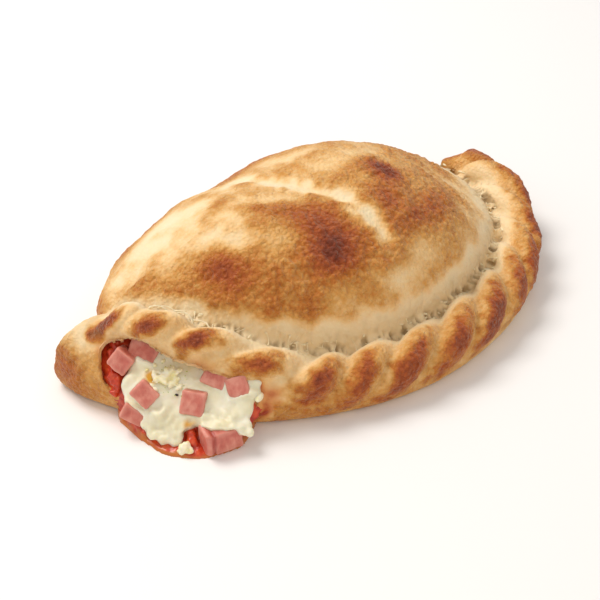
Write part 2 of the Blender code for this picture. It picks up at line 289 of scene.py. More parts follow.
rope = {
    "radius": 11.3,
    "inset": 10.8,
    "first": math.radians(178.0),
    "last": math.radians(373.5),
    "tail": math.radians(9.0),
    "clearance": 0.6,
    "lobes": 14,
    "depth": 4.4,
    "lean": 1.25,
    "crest": 0.58,
    "twistsAt": (0.0, 0.5, 1.5, 2.5, 3.5, 4.5, 5.5, 6.5, 7.5, 8.5, 14.0),
    "twistShifts": (0.0, 0.22, 0.26, 0.05, 0.18, 0.13, -0.2, -0.18, -0.1, 0.0, 0.0),
}

mouth = {
    "middle": Vector((-75.0, -32.0)),
    "heading": math.radians(-137.0),
    "halfWidth": 29.5,
    "rightTrim": 3.5,
    "inside": -26.0,
    "outside": 30.0,
    "levelLeft": 22.8,
    "levelRight": 12.0,
    "arch": 7.0,
    "lipLift": 23.0,
}


def outline(angle):
    cosine, sine = math.cos(angle), math.sin(angle)
    if sine >= 0:
        power = dough["backPower"]
        reach = dough["backReach"] * (1.0 - dough["backSkew"] * cosine)
    else:
        power = dough["frontPowerTorn"] if cosine < 0 else dough["frontPowerSealed"]
        reach = dough["frontReach"]
    length = dough["tornLength"] if cosine < 0 else dough["sealedLength"]
    along = length * signedPower(cosine, 2.0 / power)
    if sine >= 0:
        reach *= 1.0 - dough["cornerTrim"] * hill(along, 0.0, -72.0, 0.0, 26.0, 1.0)
    return Vector((along, dough["foldY"] + reach * signedPower(sine, 2.0 / power)))


def outward(angle):
    edge = outline(angle)
    bow = 22.0 * (edge.x / dough["sealedLength"]) ** 2
    return (edge - Vector((0.7 * edge.x, dough["planCentre"].y + bow))).normalized()


def insetPoint(angle, inset):
    return outline(angle) - outward(angle) * inset


def torn(angle):
    turn = math.degrees(angle) % 360.0
    return smoothStep(160.0, 185.0, turn) * (1.0 - smoothStep(212.0, 252.0, turn))


def onTheFold(angle):
    turn = math.degrees(angle) % 360.0
    return smoothStep(5.0, 50.0, turn) * (1.0 - smoothStep(133.0, 172.0, turn))


def crown(x, y):
    height = dough["crownHeight"]
    height += dough["tornHump"] * hill(x, y, -36.0, -8.0, 30.0, 45.0)
    height += dough["sealedHump"] * hill(x, y, 16.0, -8.0, 27.0, 45.0)
    height -= dough["sealedDrop"] * smoothStep(35.0, 80.0, x)
    height -= dough["tornDrop"] * (1.0 - smoothStep(-105.0, -62.0, x))
    height -= dough["shoulderDrop"] * hill(x, y, -58.0, 26.0, 30.0, 16.0)
    height += dough["sealedShoulder"] * hill(x, y, 64.0, 4.0, 16.0, 14.0)
    height -= dough["saddleDip"] * hill(x, y, -17.0, 30.0, 10.0, 15.0)
    return height


def domePoint(angle, climb, grow=0.0):
    centre = dough["planCentre"]
    folded, ripped = onTheFold(angle), torn(angle)
    edge = insetPoint(angle, mix(dough["domeInset"], 0.0, folded) - grow)
    widest = mix(mix(12.0, 20.0, ripped), 15.0, folded)
    reach = (edge - centre).length
    if climb < 0.25:
        turn = smoothStep(0.1, 0.25, climb) * math.pi / 2
        tuck = dough["domeTuck"] * (1.0 - math.sin(turn))
        plan = centre.lerp(edge, min(1.0, climb / 0.1) * (reach - tuck) / reach)
        return Vector((plan.x, plan.y, (widest + grow) * (1.0 - math.cos(turn)) - grow))
    turn = (climb - 0.25) / 0.75 * math.pi / 2
    plan = centre.lerp(edge, math.cos(turn) ** (2.0 / dough["domePower"]))
    top = crown(plan.x, plan.y) + grow
    rise = math.sin(turn) ** (2.0 / dough["domePower"])
    return Vector((plan.x, plan.y, mix(widest, top, rise)))


def slabPoint(angle, climb):
    centre = dough["planCentre"]
    ripped = torn(angle)
    height = mix(dough["flangeHeight"], dough["cheekHeight"], ripped)
    widest = mix(0.35 * dough["flangeHeight"], 0.3 * dough["cheekHeight"], ripped)
    rounding = mix(0.5 * dough["flangeHeight"], 0.57 * dough["cheekHeight"], ripped)
    edge = insetPoint(angle, mix(1.5, 0.0, ripped))
    reach = (edge - centre).length
    tuck = mix(dough["flangeTuck"], dough["cheekTuck"], ripped)
    if climb < 0.1:
        spread = (climb / 0.1) * (reach - tuck) / reach
        level = 0.0
    elif climb < 0.4:
        turn = (climb - 0.1) / 0.3 * math.pi / 2
        spread = (reach - tuck * (1.0 - math.sin(turn))) / reach
        level = widest * (1.0 - math.cos(turn))
    elif climb < 0.8:
        turn = (climb - 0.4) / 0.4 * math.pi / 2
        spread = (reach - rounding * (1.0 - math.cos(turn))) / reach
        level = mix(widest, height, math.sin(turn))
    else:
        spread = (1.0 - climb) / 0.2 * (reach - rounding) / reach
        level = height
    plan = centre.lerp(edge, spread)
    return Vector((plan.x, plan.y, level))


def ropeStations(count):
    fine = 600
    angles = [mix(rope["first"], rope["last"], i / fine) for i in range(fine + 1)]
    lengths = [0.0]
    for before, after in zip(angles, angles[1:]):
        step = insetPoint(after, rope["inset"]) - insetPoint(before, rope["inset"])
        lengths.append(lengths[-1] + step.length)
    wanted = np.linspace(0.0, lengths[-1], count + 1)
    return list(np.interp(wanted, lengths, angles))


stations = ropeStations(240)


def ropeAngle(lobe):
    share = min(0.99999, max(0.0, lobe / rope["lobes"])) * (len(stations) - 1)
    index = int(share)
    tail = rope["tail"] * max(0.0, (lobe - 12.4) / 1.6) ** 1.5  # the last twist is drawn out along the fold
    return mix(stations[index], stations[index + 1], share - index) + tail


def ropeFrame(lobe):
    angle = ropeAngle(lobe)
    lift = smoothStep(-0.6, 1.2, lobe) * (1.0 - smoothStep(1.5, 5.2, lobe))
    middle = insetPoint(angle, rope["inset"] + 4.0 * lift - 1.3 * hill(lobe, 0.0, 13.1, 0.0, 0.5, 1.0))
    start, end = smoothStep(-0.2, 1.6, lobe), 1.0 - smoothStep(12.9, 14.0, lobe)
    height = mix(10.0, 10.0 + mouth["lipLift"], lift) + 4.8 * smoothStep(11.0, 12.8, lobe) - 1.5 * smoothStep(13.0, 13.8, lobe)
    height = mix(18.0, height, smoothStep(-0.5, 1.0, lobe))
    thickness = rope["radius"] * mix(1.0, 0.75, lift) * mix(0.45, 1.0, start) * mix(0.6, 1.0, end)
    return Vector((middle.x, middle.y, height)), outward(angle), thickness


def lobeBulge(across):
    crest = rope["crest"]
    side = across / crest if across < crest else (1.0 - across) / (1.0 - crest)
    return math.sin(side * math.pi / 2) ** 0.66


def ropePoint(lobeLine, turn):
    degrees = math.degrees(turn)
    if degrees < 180.0:
        lean = rope["lean"] * (degrees - 60.0) / 180.0
    else:
        lean = rope["lean"] * mix(120.0, -150.0, (degrees - 180.0) / 90.0) / 180.0
    lean *= smoothStep(0.0, 2.2, lobeLine) * (1.0 - smoothStep(12.2, 14.0, lobeLine))
    lobe = min(rope["lobes"], max(0.0, lobeLine + lean))
    lobe += float(np.interp(lobe, rope["twistsAt"], rope["twistShifts"]))  # the twists are uneven
    middle, outer, thickness = ropeFrame(lobe)
    fade = smoothStep(0.2, 2.2, lobe) * (1.0 - smoothStep(13.0, 13.9, lobe))
    raised = lobeBulge(lobeLine % 1.0) - 1.0
    upper = 0.5 + 0.5 * math.sin(turn + math.radians(15.0))
    depth = rope["depth"] * (1.0 + 0.4 * smoothStep(8.5, 10.5, lobe))
    radius = thickness + raised * depth * fade * mix(0.35, 1.0, upper)
    sideways = math.cos(turn) * radius
    up = math.sin(turn) * radius
    if up < 0:
        up *= min(1.0, (middle.z - rope["clearance"]) / thickness)
        up *= 1.0 - 0.45 * hill(lobe, 0.0, 1.3, 0.0, 0.6, 1.0) + 0.6 * hill(lobe, 0.0, 2.65, 0.0, 0.5, 1.0)
    return Vector((middle.x + outer.x * sideways, middle.y + outer.y * sideways, middle.z + up))


def ropeMesh(around, stepsALobe):
    mesh = bmesh.new()
    rows = rope["lobes"] * stepsALobe
    bmesh.ops.create_grid(mesh, x_segments=around, y_segments=rows, size=0.5)
    for vertex in mesh.verts:
        turn = (vertex.co.x + 0.5) * 2.0 * math.pi - math.radians(90.0)
        vertex.co = ropePoint((vertex.co.y + 0.5) * rope["lobes"], turn)
    bmesh.ops.remove_doubles(mesh, verts=mesh.verts, dist=0.001)
    bmesh.ops.holes_fill(mesh, edges=mesh.edges)
    bmesh.ops.recalc_face_normals(mesh, faces=mesh.faces)
    if mesh.calc_volume(signed=True) < 0:
        bmesh.ops.reverse_faces(mesh, faces=mesh.faces)
    return mesh


def mouthPlace(across, out, height):
    heading = Vector((math.cos(mouth["heading"]), math.sin(mouth["heading"])))
    plan = mouth["middle"] + heading * out + Vector((-heading.y, heading.x)) * across
    return Vector((plan.x, plan.y, height))


def mouthPoint(angle, climb):
    cosine, sine = math.cos(angle), math.sin(angle)
    half = mouth["halfWidth"] - mouth["rightTrim"] * smoothStep(0.0, 1.0, cosine)
    if sine >= 0:
        across = half * cosine
        level = mix(mouth["levelLeft"], mouth["levelRight"], 0.5 + 0.5 * cosine)
        height = level + mouth["arch"] * sine ** 0.7
        height += 1.8 * hill(across, 0.0, -16.0, 0.0, 8.0, 1.0)
    else:
        side = signedPower(cosine, 0.6)
        across = half * side
        level = mix(mouth["levelLeft"], mouth["levelRight"], 0.5 + 0.5 * side)
        height = level - (level - dough["wall"] + 1.0) * (-sine) ** 0.6
        across += 12.0 * smoothStep(0.2, 1.0, -sine) * (1.0 - smoothStep(-1.0, 0.5, cosine))
    spread = max(0.0, math.sin(math.pi * climb)) ** 0.3
    out = mix(mouth["inside"], mouth["outside"], climb)
    return mouthPlace(across * spread, out, mix(14.0, height, spread))


def pocketPoint(angle, climb):
    return domePoint(angle, climb, -dough["wall"])


# The ham's places, and how far the frame's origin lies from the dough's axes

ham = {  # across the mouth, out of it, height, three edges, roll, lean and heading in degrees
    "ham_1": (-21.9, 7.0, 21.7, 8.0, 8.0, 7.6, 34.0, -24.0, -50.0),
    "ham_2": (-15.0, 2.2, 21.9, 11.0, 8.0, 8.5, 14.0, -42.0, -48.0),
    "ham_3": (-12.3, 16.0, 14.8, 8.8, 8.0, 7.6, 43.0, -34.0, -42.0),
    "ham_4": (5.0, 16.4, 13.0, 9.0, 8.5, 9.0, 3.0, -31.0, -50.0),
    "ham_5": (-16.3, 18.0, 7.1, 9.2, 7.0, 6.0, 28.0, -22.0, -44.0),
    "ham_6": (11.2, 8.0, 18.3, 9.4, 8.0, 8.0, 24.0, -38.0, -42.0),
    "ham_7": (19.2, 9.9, 16.1, 8.4, 8.0, 8.0, -18.0, -36.0, -44.0),
    "ham_8": (15.3, 24.2, 5.2, 13.8, 8.0, 9.2, 0.0, 0.0, -12.0),
}

settle = Vector((1.597, 22.53, 0.0)) * mm


# Dough: skin, relief and toasting

toastPatches = (  # two ends in millimetres, reach, strength
    ((-20.0, -45.5, 47.6), (-18.0, -44.0, 49.0), 8.5, 0.3),
    ((-20.0, -36.0, 52.4), (-20.0, -47.5, 46.5), 12.0, 0.18),
    ((-38.0, -4.5, 55.0), (-33.0, -12.0, 56.0), 5.0, 0.1),
    ((-23.0, -21.0, 56.0), (-17.0, -30.0, 54.4), 6.5, 0.17),
    ((-30.3, -18.8, 56.8), (-28.0, -20.5, 56.2), 3.5, 0.1),
    ((-58.5, -18.0, 47.0), (-52.0, -32.0, 45.0), 8.0, 0.19),
    ((-56.5, -25.0, 46.0), (-55.0, -28.0, 45.5), 5.5, 0.16),
    ((22.0, -25.0, 57.0), (23.4, -28.5, 56.4), 5.5, 0.42),
    ((20.5, -23.0, 58.0), (24.0, -34.0, 54.3), 7.0, 0.1),
    ((13.5, -37.0, 54.8), (12.0, -40.0, 53.8), 5.5, 0.24),
    ((40.0, -42.0, 42.0), (54.0, -34.0, 37.0), 8.0, 0.12),
    ((20.0, -47.0, 48.0), (28.0, -46.0, 46.2), 7.5, 0.28),
    ((6.0, -47.0, 50.0), (12.0, -50.0, 47.0), 5.0, 0.14),
    ((4.6, -56.4, 41.9), (6.0, -56.0, 42.5), 4.5, 0.08),
    ((-44.0, -46.0, 37.7), (-36.0, -52.0, 36.0), 7.0, 0.14),
    ((-17.3, -59.4, 33.8), (-15.0, -59.5, 34.5), 5.5, 0.12),
    ((-68.0, -21.0, 39.0), (-58.0, -33.4, 40.0), 5.5, 0.07),
    ((-76.8, -4.0, 36.8), (-73.5, -10.5, 38.0), 4.2, 0.1),
    ((-71.5, -17.0, 37.5), (-64.0, -31.5, 37.0), 4.0, 0.1),
    ((-52.0, -42.0, 33.0), (-30.0, -55.0, 30.5), 4.0, 0.1),
    ((60.0, 8.0, 34.0), (30.0, 22.0, 40.0), 9.0, 0.2),
    ((-6.0, 26.0, 40.0), (8.0, 24.0, 42.0), 8.0, 0.2),
    ((-62.0, 20.0, 32.0), (-46.0, 26.0, 34.0), 9.0, 0.2),
    ((-30.0, 36.0, 16.0), (30.0, 36.0, 16.0), 7.0, 0.12),
)

cheekPatches = (
    ((-109.0, 2.0, 18.0), (-108.0, -2.0, 16.0), 7.0, 0.28),
    ((-110.0, 5.0, 8.0), (-106.0, -12.0, 7.0), 7.0, 0.12),
)

# Paler patches of dough; those on the upper-left flank, towards -x and +y, also paint in the brightness of the key
# light falling from the upper left
palePatches = (
    ((-52.5, -14.0, 50.5), (-42.0, -15.0, 54.2), 5.5, 0.28),
    ((-46.0, 4.0, 50.5), (-58.0, -2.0, 47.0), 10.0, 0.15),
    ((-62.0, 8.0, 42.0), (-74.0, 6.0, 34.0), 9.0, 0.08),
    ((-20.0, 20.0, 48.0), (-58.0, 18.0, 38.0), 11.0, 0.1),
    ((-33.0, -8.0, 56.5), (-16.0, -21.0, 56.0), 3.5, 0.15),
    ((-47.0, -21.0, 51.5), (-33.0, -32.0, 52.5), 5.5, 0.12),
    ((-12.0, 5.0, 53.5), (2.0, -1.0, 57.0), 7.0, 0.1),
    ((0.4, -29.3, 55.4), (4.0, -38.0, 53.5), 4.5, 0.14),
    ((-82.0, 5.0, 26.0), (-79.0, 10.0, 28.0), 6.0, 0.08),
    ((-3.4, -37.3, 53.9), (0.5, -50.0, 47.0), 4.0, 0.1),
    ((-8.0, -55.0, 42.0), (-1.0, -60.0, 35.0), 6.0, 0.05),
    ((-50.0, 12.0, 45.0), (-72.0, 9.0, 34.0), 8.0, 0.16),
    ((-8.0, 10.0, 52.0), (4.0, 4.0, 56.0), 6.0, 0.1),
)

greaseAndShadowPatches = (  # sauce soaked into the dough round the mouth, and one patch of painted shadow under the lip
    ((-64.0, -58.0, 8.0), (-62.0, -62.0, 13.0), 4.2, 0.6),
    ((-66.5, -57.0, 3.0), (-64.0, -61.5, 7.0), 4.0, 0.65),
    ((-63.5, -58.5, 16.5), (-59.5, -63.0, 13.5), 3.0, 0.45),
    ((-80.5, -41.0, 26.0), (-69.5, -51.5, 17.5), 2.4, 0.6),
    ((-71.0, -51.5, 20.5), (-63.5, -58.0, 17.5), 2.4, 0.45),
    ((-100.5, -13.0, 24.0), (-100.9, -17.5, 15.6), 1.8, 0.6),
    ((-100.9, -17.5, 15.6), (-98.8, -23.2, 3.5), 2.2, 0.75),
    # painted shadow: this full-strength patch turns the dough deep red under the lip's inner edge on the left, partly
    # sauce soak and partly the lip's shadow
    ((-95.0, -10.0, 24.0), (-94.5, -18.0, 12.0), 4.2, 1.0),
)

saddleLine = ((-20.0, 34.0), (-21.0, 16.0), (-16.5, 0.0), (-11.0, -12.0), (-6.0, -22.0),
              (-1.5, -31.0), (1.5, -39.0), (2.5, -46.0), (1.5, -53.0))


def nearestIn(samples, points):
    tree = kdtree.KDTree(len(samples))
    for index, sample in enumerate(samples):
        tree.insert(sample, index)
    tree.balance()
    found = [tree.find(Vector(p)) for p in points]
    return np.array([f[2] for f in found]), np.array([f[1] for f in found])


def blunt(values, limit, give):  # presses back whatever sticks out past a limit
    beyond = np.maximum(0.0, values - limit)
    return values - beyond + give * (1.0 - np.exp(-beyond / give))


def mouldCrust():  # the whole crust as one closed skin, with the pocket hollowed out
    crust = addObject("crust", loft(domePoint, 200, 84))
    combine(crust, addObject("tool", loft(slabPoint, 220, 34)), "UNION")
    combine(crust, addObject("tool", loft(mouthPoint, 96, 48)), "DIFFERENCE")
    combine(crust, addObject("tool", ropeMesh(48, 30)), "UNION")
    skinOver(crust, dough["voxel"])
    setPoints(crust, smoothed(getPoints(crust), getEdges(crust), 2))
    combine(crust, addObject("tool", loft(pocketPoint, 64, 24)), "DIFFERENCE")
    points, normals = getPoints(crust), getNormals(crust)
    under = (normals[:, 2] < -0.9) & (points[:, 2] < 1.0)
    thinOut(crust, under, 0.1)
    normals = getNormals(crust)
    thinOut(crust, (normals[:, 1] > 0.35) & (getPoints(crust)[:, 1] > 5.0), 0.45)
    print("crust moulded:", len(crust.data.vertices), len(crust.data.polygons))
    return crust


def bakeCrust():
    crust = mouldCrust()
    edges = getEdges(crust)
    points, normals = getPoints(crust), getNormals(crust)
    domeSamples = [domePoint(2.0 * math.pi * i / 260, mix(0.1, 1.0, j / 80)) for i in range(260) for j in range(81)]
    ropeSamples, ropeLines, ropeTurns = [], [], []
    for i in range(rope["lobes"] * 24):
        for j in range(44):
            line, turn = i / 24, mix(-90.0, 270.0, j / 44)
            ropeSamples.append(ropePoint(line, math.radians(turn)))
            ropeLines.append(line)
            ropeTurns.append(turn)
    fromRope, ropeIndex = nearestIn(ropeSamples, points)
    fromDome, _ = nearestIn(domeSamples, points)
    fromMouth, _ = nearestIn([mouthPoint(math.pi * i / 80, j / 60) for i in range(160) for j in range(61)], points)
    saddleSamples = []
    for before, after in zip(saddleLine, saddleLine[1:]):
        steps = [Vector((*before, 0.0)).lerp(Vector((*after, 0.0)), i / 10) for i in range(10)]
        saddleSamples += steps
    fromSaddle, _ = nearestIn(saddleSamples, points * np.array([1.0, 1.0, 0.0]))
    lines = np.array(ropeLines)[ropeIndex]
    turns = np.array(ropeTurns)[ropeIndex]
    onRope = 1.0 - smoothSteps(0.9, 2.2, fromRope)
    fromSeam = np.maximum(fromRope, fromDome)
    aboveGround = smoothSteps(0.3, 4.0, points[:, 2])
    topSheet = (1.0 - onRope) * smoothSteps(26.0, 36.0, points[:, 2])

    coarse = noiseOver(points, 27.0, 1)
    middling = noiseOver(points, 9.0, 2)
    small = noiseOver(points, 3.6, 3)
    fine = noiseOver(points, 1.5, 4)
    wrinkle = 1.0 - 2.0 * np.sqrt(noiseOver(points * np.array([1.0, 1.0, 1.7]), 5.5, 5) ** 2 + 0.003)
    bubble, luck = cellsOver(points, 2.0, 6)
    blister, chance = cellsOver(points, 3.6, 7)

    # Toasting: patches on the dome, an oval on each lobe, pale where the dough was sheltered
    warp = 0.4 * middling + 0.18 * small
    low = 1.0 - smoothSteps(36.0, 48.0, points[:, 2])
    front = 1.0 - smoothSteps(-30.0, 0.0, points[:, 1])
    sealed = smoothSteps(-12.0, 8.0, points[:, 0])
    toast = 0.365 - 0.05 * low * front - 0.02 * sealed + 0.12 * coarse + 0.13 * middling + 0.05 * small
    # paler patches, partly painted light on the upper-left flank
    toast = toast - streaksOver(points, palePatches, warp)
    saddle = (1.0 - smoothSteps(0.0, 6.0, fromSaddle + small * 3.0 + middling * 2.0)) * topSheet
    toast = toast - 0.27 * saddle
    toast = toast + streaksOver(points, toastPatches, warp)
    nearer = 1.0 - smoothSteps(-66.0, -44.0, points[:, 0])
    bandReach = mix(mix(13.0, 14.5, smoothSteps(-30.0, 0.0, points[:, 0])), 8.5, nearer)
    band = 1.0 - smoothSteps(mix(6.0, 1.5, nearer), bandReach, fromRope + middling * 2.0 + small)
    toast = mix(toast, 0.09 + 0.05 * middling, band)
    lobeNumber = np.floor(lines).astype(int)
    lobeLuck = np.array([0.62 + 0.2 * noise.noise(Vector((n * 3.7 + 0.5, 1.3, 0.4))) for n in range(rope["lobes"])])
    onLip = 1.0 - smoothSteps(4.0, 4.8, lines)
    sideways = (lines % 1.0 - 0.5) / mix(0.42, 0.34, onLip)
    lengthways = (turns - 26.0 - 10.0 * onLip + 14.0 * smoothSteps(9.0, 12.0, lines)) / mix(70.0, 52.0, onLip)
    oval = np.sqrt(sideways ** 2 + lengthways ** 2) + 0.4 * middling + 0.4 * small
    crest = 1.0 - smoothSteps(0.15, 1.35, oval)
    lobeToast = 0.28 - 0.075 * onLip + 0.08 * middling + (lobeLuck[lobeNumber] - 0.17 + 0.1 * onLip) * crest
    beneath = (1.0 - smoothSteps(-60.0, 0.0, turns)) * (turns < 90.0) * (1.0 - onLip)
    lobeToast = lobeToast + mix(0.28, 0.04, smoothSteps(6.0, 8.5, lines)) * beneath
    lobeToast = lobeToast * (1.0 - 0.65 * smoothSteps(90.0, 125.0, turns)) + 0.22 * smoothSteps(12.0, 13.2, lines)
    toast = mix(toast, lobeToast, onRope)
    toast = toast + streaksOver(points, cheekPatches, warp) * (1.0 - onRope)
    skirt = (1.0 - onRope) * (1.0 - smoothSteps(8.0, 13.0, points[:, 2])) * (points[:, 0] > -62.0)
    shade = 0.45 - 0.15 * smoothSteps(7.0, 8.2, lines) * (1.0 - smoothSteps(9.8, 11.0, lines))
    toast = mix(toast, shade + 0.15 * middling, skirt)
    toast = smoothed(toast, edges, 2)
    pebble = 1.0 - smoothSteps(0.15, 0.8, bubble)
    browned = smoothSteps(0.14, 0.5, toast)
    toast = np.clip(toast + browned * (0.02 - 0.05 * pebble), 0.0, 1.0)

    # Relief: slow swelling, wrinkles and bubbles where it browned, a torn crevice along the seam
    bent = 1.0 - np.linalg.norm(smoothed(normals, edges, 4), axis=1)
    calm = 1.0 - smoothSteps(0.02, 0.08, bent) * (1.0 - smoothSteps(-70.0, -55.0, points[:, 0]))
    rough = browned * mix(1.0, 0.45, onRope) * calm * mix(1.0, 0.35, smoothSteps(-12.0, 6.0, points[:, 1]))
    lift = 0.8 * coarse + 0.6 * middling + 0.2 * small - mix(1.1, 0.8, onRope)
    lift = lift + rough * (0.4 * wrinkle + 0.3 * small - 0.2)
    lift = lift + rough * (0.5 + 0.35 * (luck > 0.4)) * pebble
    lift = lift + rough * 0.8 * (chance > 0.7) * (1.0 - smoothSteps(0.1, 0.62, blister))
    lift = lift + (0.1 + 0.25 * rough) * fine * calm
    lift = lift - 1.2 * (1.0 - smoothSteps(0.0, 4.5, fromSaddle)) * topSheet
    onFoot = (1.0 - onRope) * (1.0 - smoothSteps(4.0, 14.0, fromRope)) * smoothSteps(12.0, 18.0, points[:, 2])
    stretched = noiseOver(np.stack([lines * 16.0, points[:, 2] / 9.0, fromSeam / 9.0], axis=1), 1.0, 8)
    lift = lift + 0.6 * stretched * onFoot
    ragged = smoothSteps(-0.15, 0.25, 0.5 * small + 0.9 * fine)
    crevice = (1.0 - smoothSteps(0.3, 2.6, fromSeam)) * ragged * (points[:, 2] > 9.0)
    lift = lift - 1.3 * crevice
    lift = lift * aboveGround
    points = points + (smoothed(points, edges, 10) - points) * (1.0 - calm)[:, None]
    points = points + normals * lift[:, None]
    points[:, 2] = np.maximum(points[:, 2], 0.0)
    points[:, 0] = -blunt(-points[:, 0], dough["cheekEnd"], 3.6)
    points[:, 0] = blunt(points[:, 0], dough["ropeEnd"], 0.35)
    points[:, 1] = -blunt(-points[:, 1], dough["frontEnd"], 0.7)
    setPoints(crust, points)
    # painted shade on the foot of the dome beside the rope, streaked along the stretch marks
    footShade = onFoot * (0.1 + 0.35 * np.clip(stretched, 0.0, 1.0)) * (1.0 - smoothSteps(4.0, 13.0, fromRope))

    groove = np.minimum(lines % 1.0, 1.0 - lines % 1.0)
    crease = (1.0 - smoothSteps(0.0, 0.07, groove)) * onRope * (turns > -40.0) * (turns < 140.0)
    setAttribute(crust, "toast", toast)
    # painted shade: a darker colour in the seam crevice, in the creases between twists and on the foot of the dome
    setAttribute(crust, "pit", smoothed(np.clip(crevice + 0.3 * crease + footShade, 0.0, 1.0), edges, 1))
    depth = (mouth["middle"].x - points[:, 0]) * slopeOut.x + (mouth["middle"].y - points[:, 1]) * slopeOut.y
    inner = mix(0.35, 0.95, smoothSteps(-8.0, 4.0, depth)) * (1.0 - smoothSteps(0.4, 1.9, fromMouth + 0.6 * small))
    stain = np.maximum(streaksOver(points, greaseAndShadowPatches, 0.5 * small), inner * (points[:, 2] > 2.0))
    setAttribute(crust, "stain", smoothed(stain, edges, 1))
    thinOut(crust, np.ones(len(points), dtype=bool), 0.8)
    return crust, points, fromSeam, fromRope, fromDome, lines


def tearThreads(points, fromSeam, fromRope, fromDome, lines):  # torn strings of dough across the seam
    lot = random.Random(3)
    mesh = bmesh.new()
    high = points[:, 2] > 13.0
    footed = np.nonzero((fromDome < 1.2) & (fromRope > 1.6) & (fromRope < 5.0) & high)[0]
    roped = np.nonzero((fromRope < 1.2) & (fromDome > 1.2) & (fromDome < 3.4) & high)[0]
    footLines, ropeLine = lines[footed], lines[roped]
    for i in range(54):
        line = lot.uniform(1.0, 13.4) if i % 3 else lot.uniform(1.0, 4.6)
        above = footed[np.argsort(np.abs(footLines - line))[:140]]
        below = roped[np.argsort(np.abs(ropeLine - line - lot.uniform(-0.06, 0.06)))[:90]]
        start = Vector(points[above[lot.randrange(len(above))]])
        ends = sorted(below, key=lambda b: (Vector(points[b]) - start).length)
        end = Vector(points[ends[lot.randrange(8)]])
        if (end - start).length < (5.5 if line < 5.0 else 3.6):
            bow = Vector((lot.uniform(-0.9, 0.9), lot.uniform(-0.1, 0.4), lot.uniform(-0.8, 0.0)))
            addStrand(mesh, start, end, lot.uniform(0.12, 0.28), bow)
    torn = np.nonzero((np.maximum(fromDome, fromRope) < 2.4) & high)[0]
    for i in range(170):  # torn bits along the crevice
        place = Vector(points[torn[lot.randrange(len(torn))]])
        size = lot.uniform(0.35, 0.8)
        addBlob(mesh, place, (size * 1.8, size * 0.7, size * 0.6), lot.uniform(0.0, 3.0), lot.uniform(-0.8, 0.8), 2)
    for start, end, radius, bow in (
        ((-83.0, -21.0, 38.5), (-78.5, -26.0, 37.5), 0.4, (0.2, -0.4, 2.0)),
        ((-80.5, -23.0, 38.5), (-76.0, -29.0, 36.5), 0.35, (0.4, 0.4, 1.8)),
        ((-77.5, -27.0, 37.5), (-73.5, -34.0, 35.0), 0.4, (1.2, 0.2, 1.8)),
        ((-76.5, -28.5, 37.5), (-74.5, -35.0, 35.5), 0.3, (1.4, 0.2, 1.2)),
        ((-73.0, -33.0, 35.0), (-70.5, -40.0, 33.0), 0.4, (1.2, 0.0, 1.2)),
        ((-67.0, -40.0, 32.5), (-65.0, -45.0, 31.0), 0.35, (0.8, 0.0, 1.0)),
    ):
        addStrand(mesh, Vector(start), Vector(end), radius, Vector(bow))
    return addObject("dough_threads", closeUp(mesh))


# Ham

def hamPlace(name):
    across, out, height, length, width, depth, roll, lean, heading = ham[name]
    turn = Euler((math.radians(lean), math.radians(roll), math.radians(heading)), "YXZ").to_matrix()
    return mouthPlace(across, out, height), Vector((length, width, depth)) * 0.49, turn


def cutHam(name):
    place, half, turn = hamPlace(name)
    rounding = 0.9
    mesh = bmesh.new()
    bmesh.ops.create_cube(mesh, size=2.0)
    bmesh.ops.subdivide_edges(mesh, edges=mesh.edges, cuts=19, use_grid_fill=True)
    seed = Vector((place.x * 1.7, place.y * 1.3, place.z))
    joint = -0.62 * half.x
    for vertex in mesh.verts:
        point = Vector([value * size for value, size in zip(vertex.co, half)])
        core = Vector([max(-size + rounding, min(size - rounding, value)) for value, size in zip(point, half)])
        if (point - core).length > 0.0:
            point = core + (point - core).normalized() * rounding
        ripple = 0.3 * noise.noise(point / 4.0 + seed) + 0.16 * noise.noise(point / 1.3 + seed)
        point = point * (1.0 + 0.05 * noise.noise(point / 9.0 + seed))
        point += (point - core * 0.8).normalized() * (ripple - 0.15)
        if name == "ham_8":  # two dice stuck together, the small one turned away
            point -= (point - core * 0.9).normalized() * 0.9 * math.exp(-((point.x - joint) / 0.5) ** 2)
            point.y += 0.5 * max(0.0, joint - point.x)
        vertex.co = turn @ point + place
    obj = addObject(name + "_dice", mesh)
    nearFace = np.sort(np.abs((getPoints(obj) - np.array(place)) @ np.array(turn)) - np.array(half), axis=1)
    # painted highlight: the dice are made paler along their edges
    setAttribute(obj, "edge", np.exp(-((nearFace[:, 1] / 1.2) ** 2)))
    if name == "ham_8":
        local = (getPoints(obj) - np.array(place)) @ np.array(turn)
        setAttribute(obj, "joint", np.exp(-(((local[:, 0] - joint) / 0.7) ** 2)))
    return obj


def hamDistance(name, points):  # how far points lie outside a dice
    place, half, turn = hamPlace(name)
    local = np.abs((points - np.array(place)) @ np.array(turn)) - np.array(half)
    return np.linalg.norm(np.maximum(local, 0.0), axis=1) + np.minimum(local.max(axis=1), 0.0)


# Filling: it slopes from under the lip down to the table. Places on the slope are
# given as across the mouth, down the slope, and level above it.

def slopePlace(across, down, level):
    return mouthPlace(across, 0.8 * down + 0.6 * level, 0.8 * level - 0.6 * down)


slopeUp = slopePlace(0.0, 0.0, 1.0) - slopePlace(0.0, 0.0, 0.0)
slopeOut = mouthPlace(0.0, 1.0, 0.0) - mouthPlace(0.0, 0.0, 0.0)

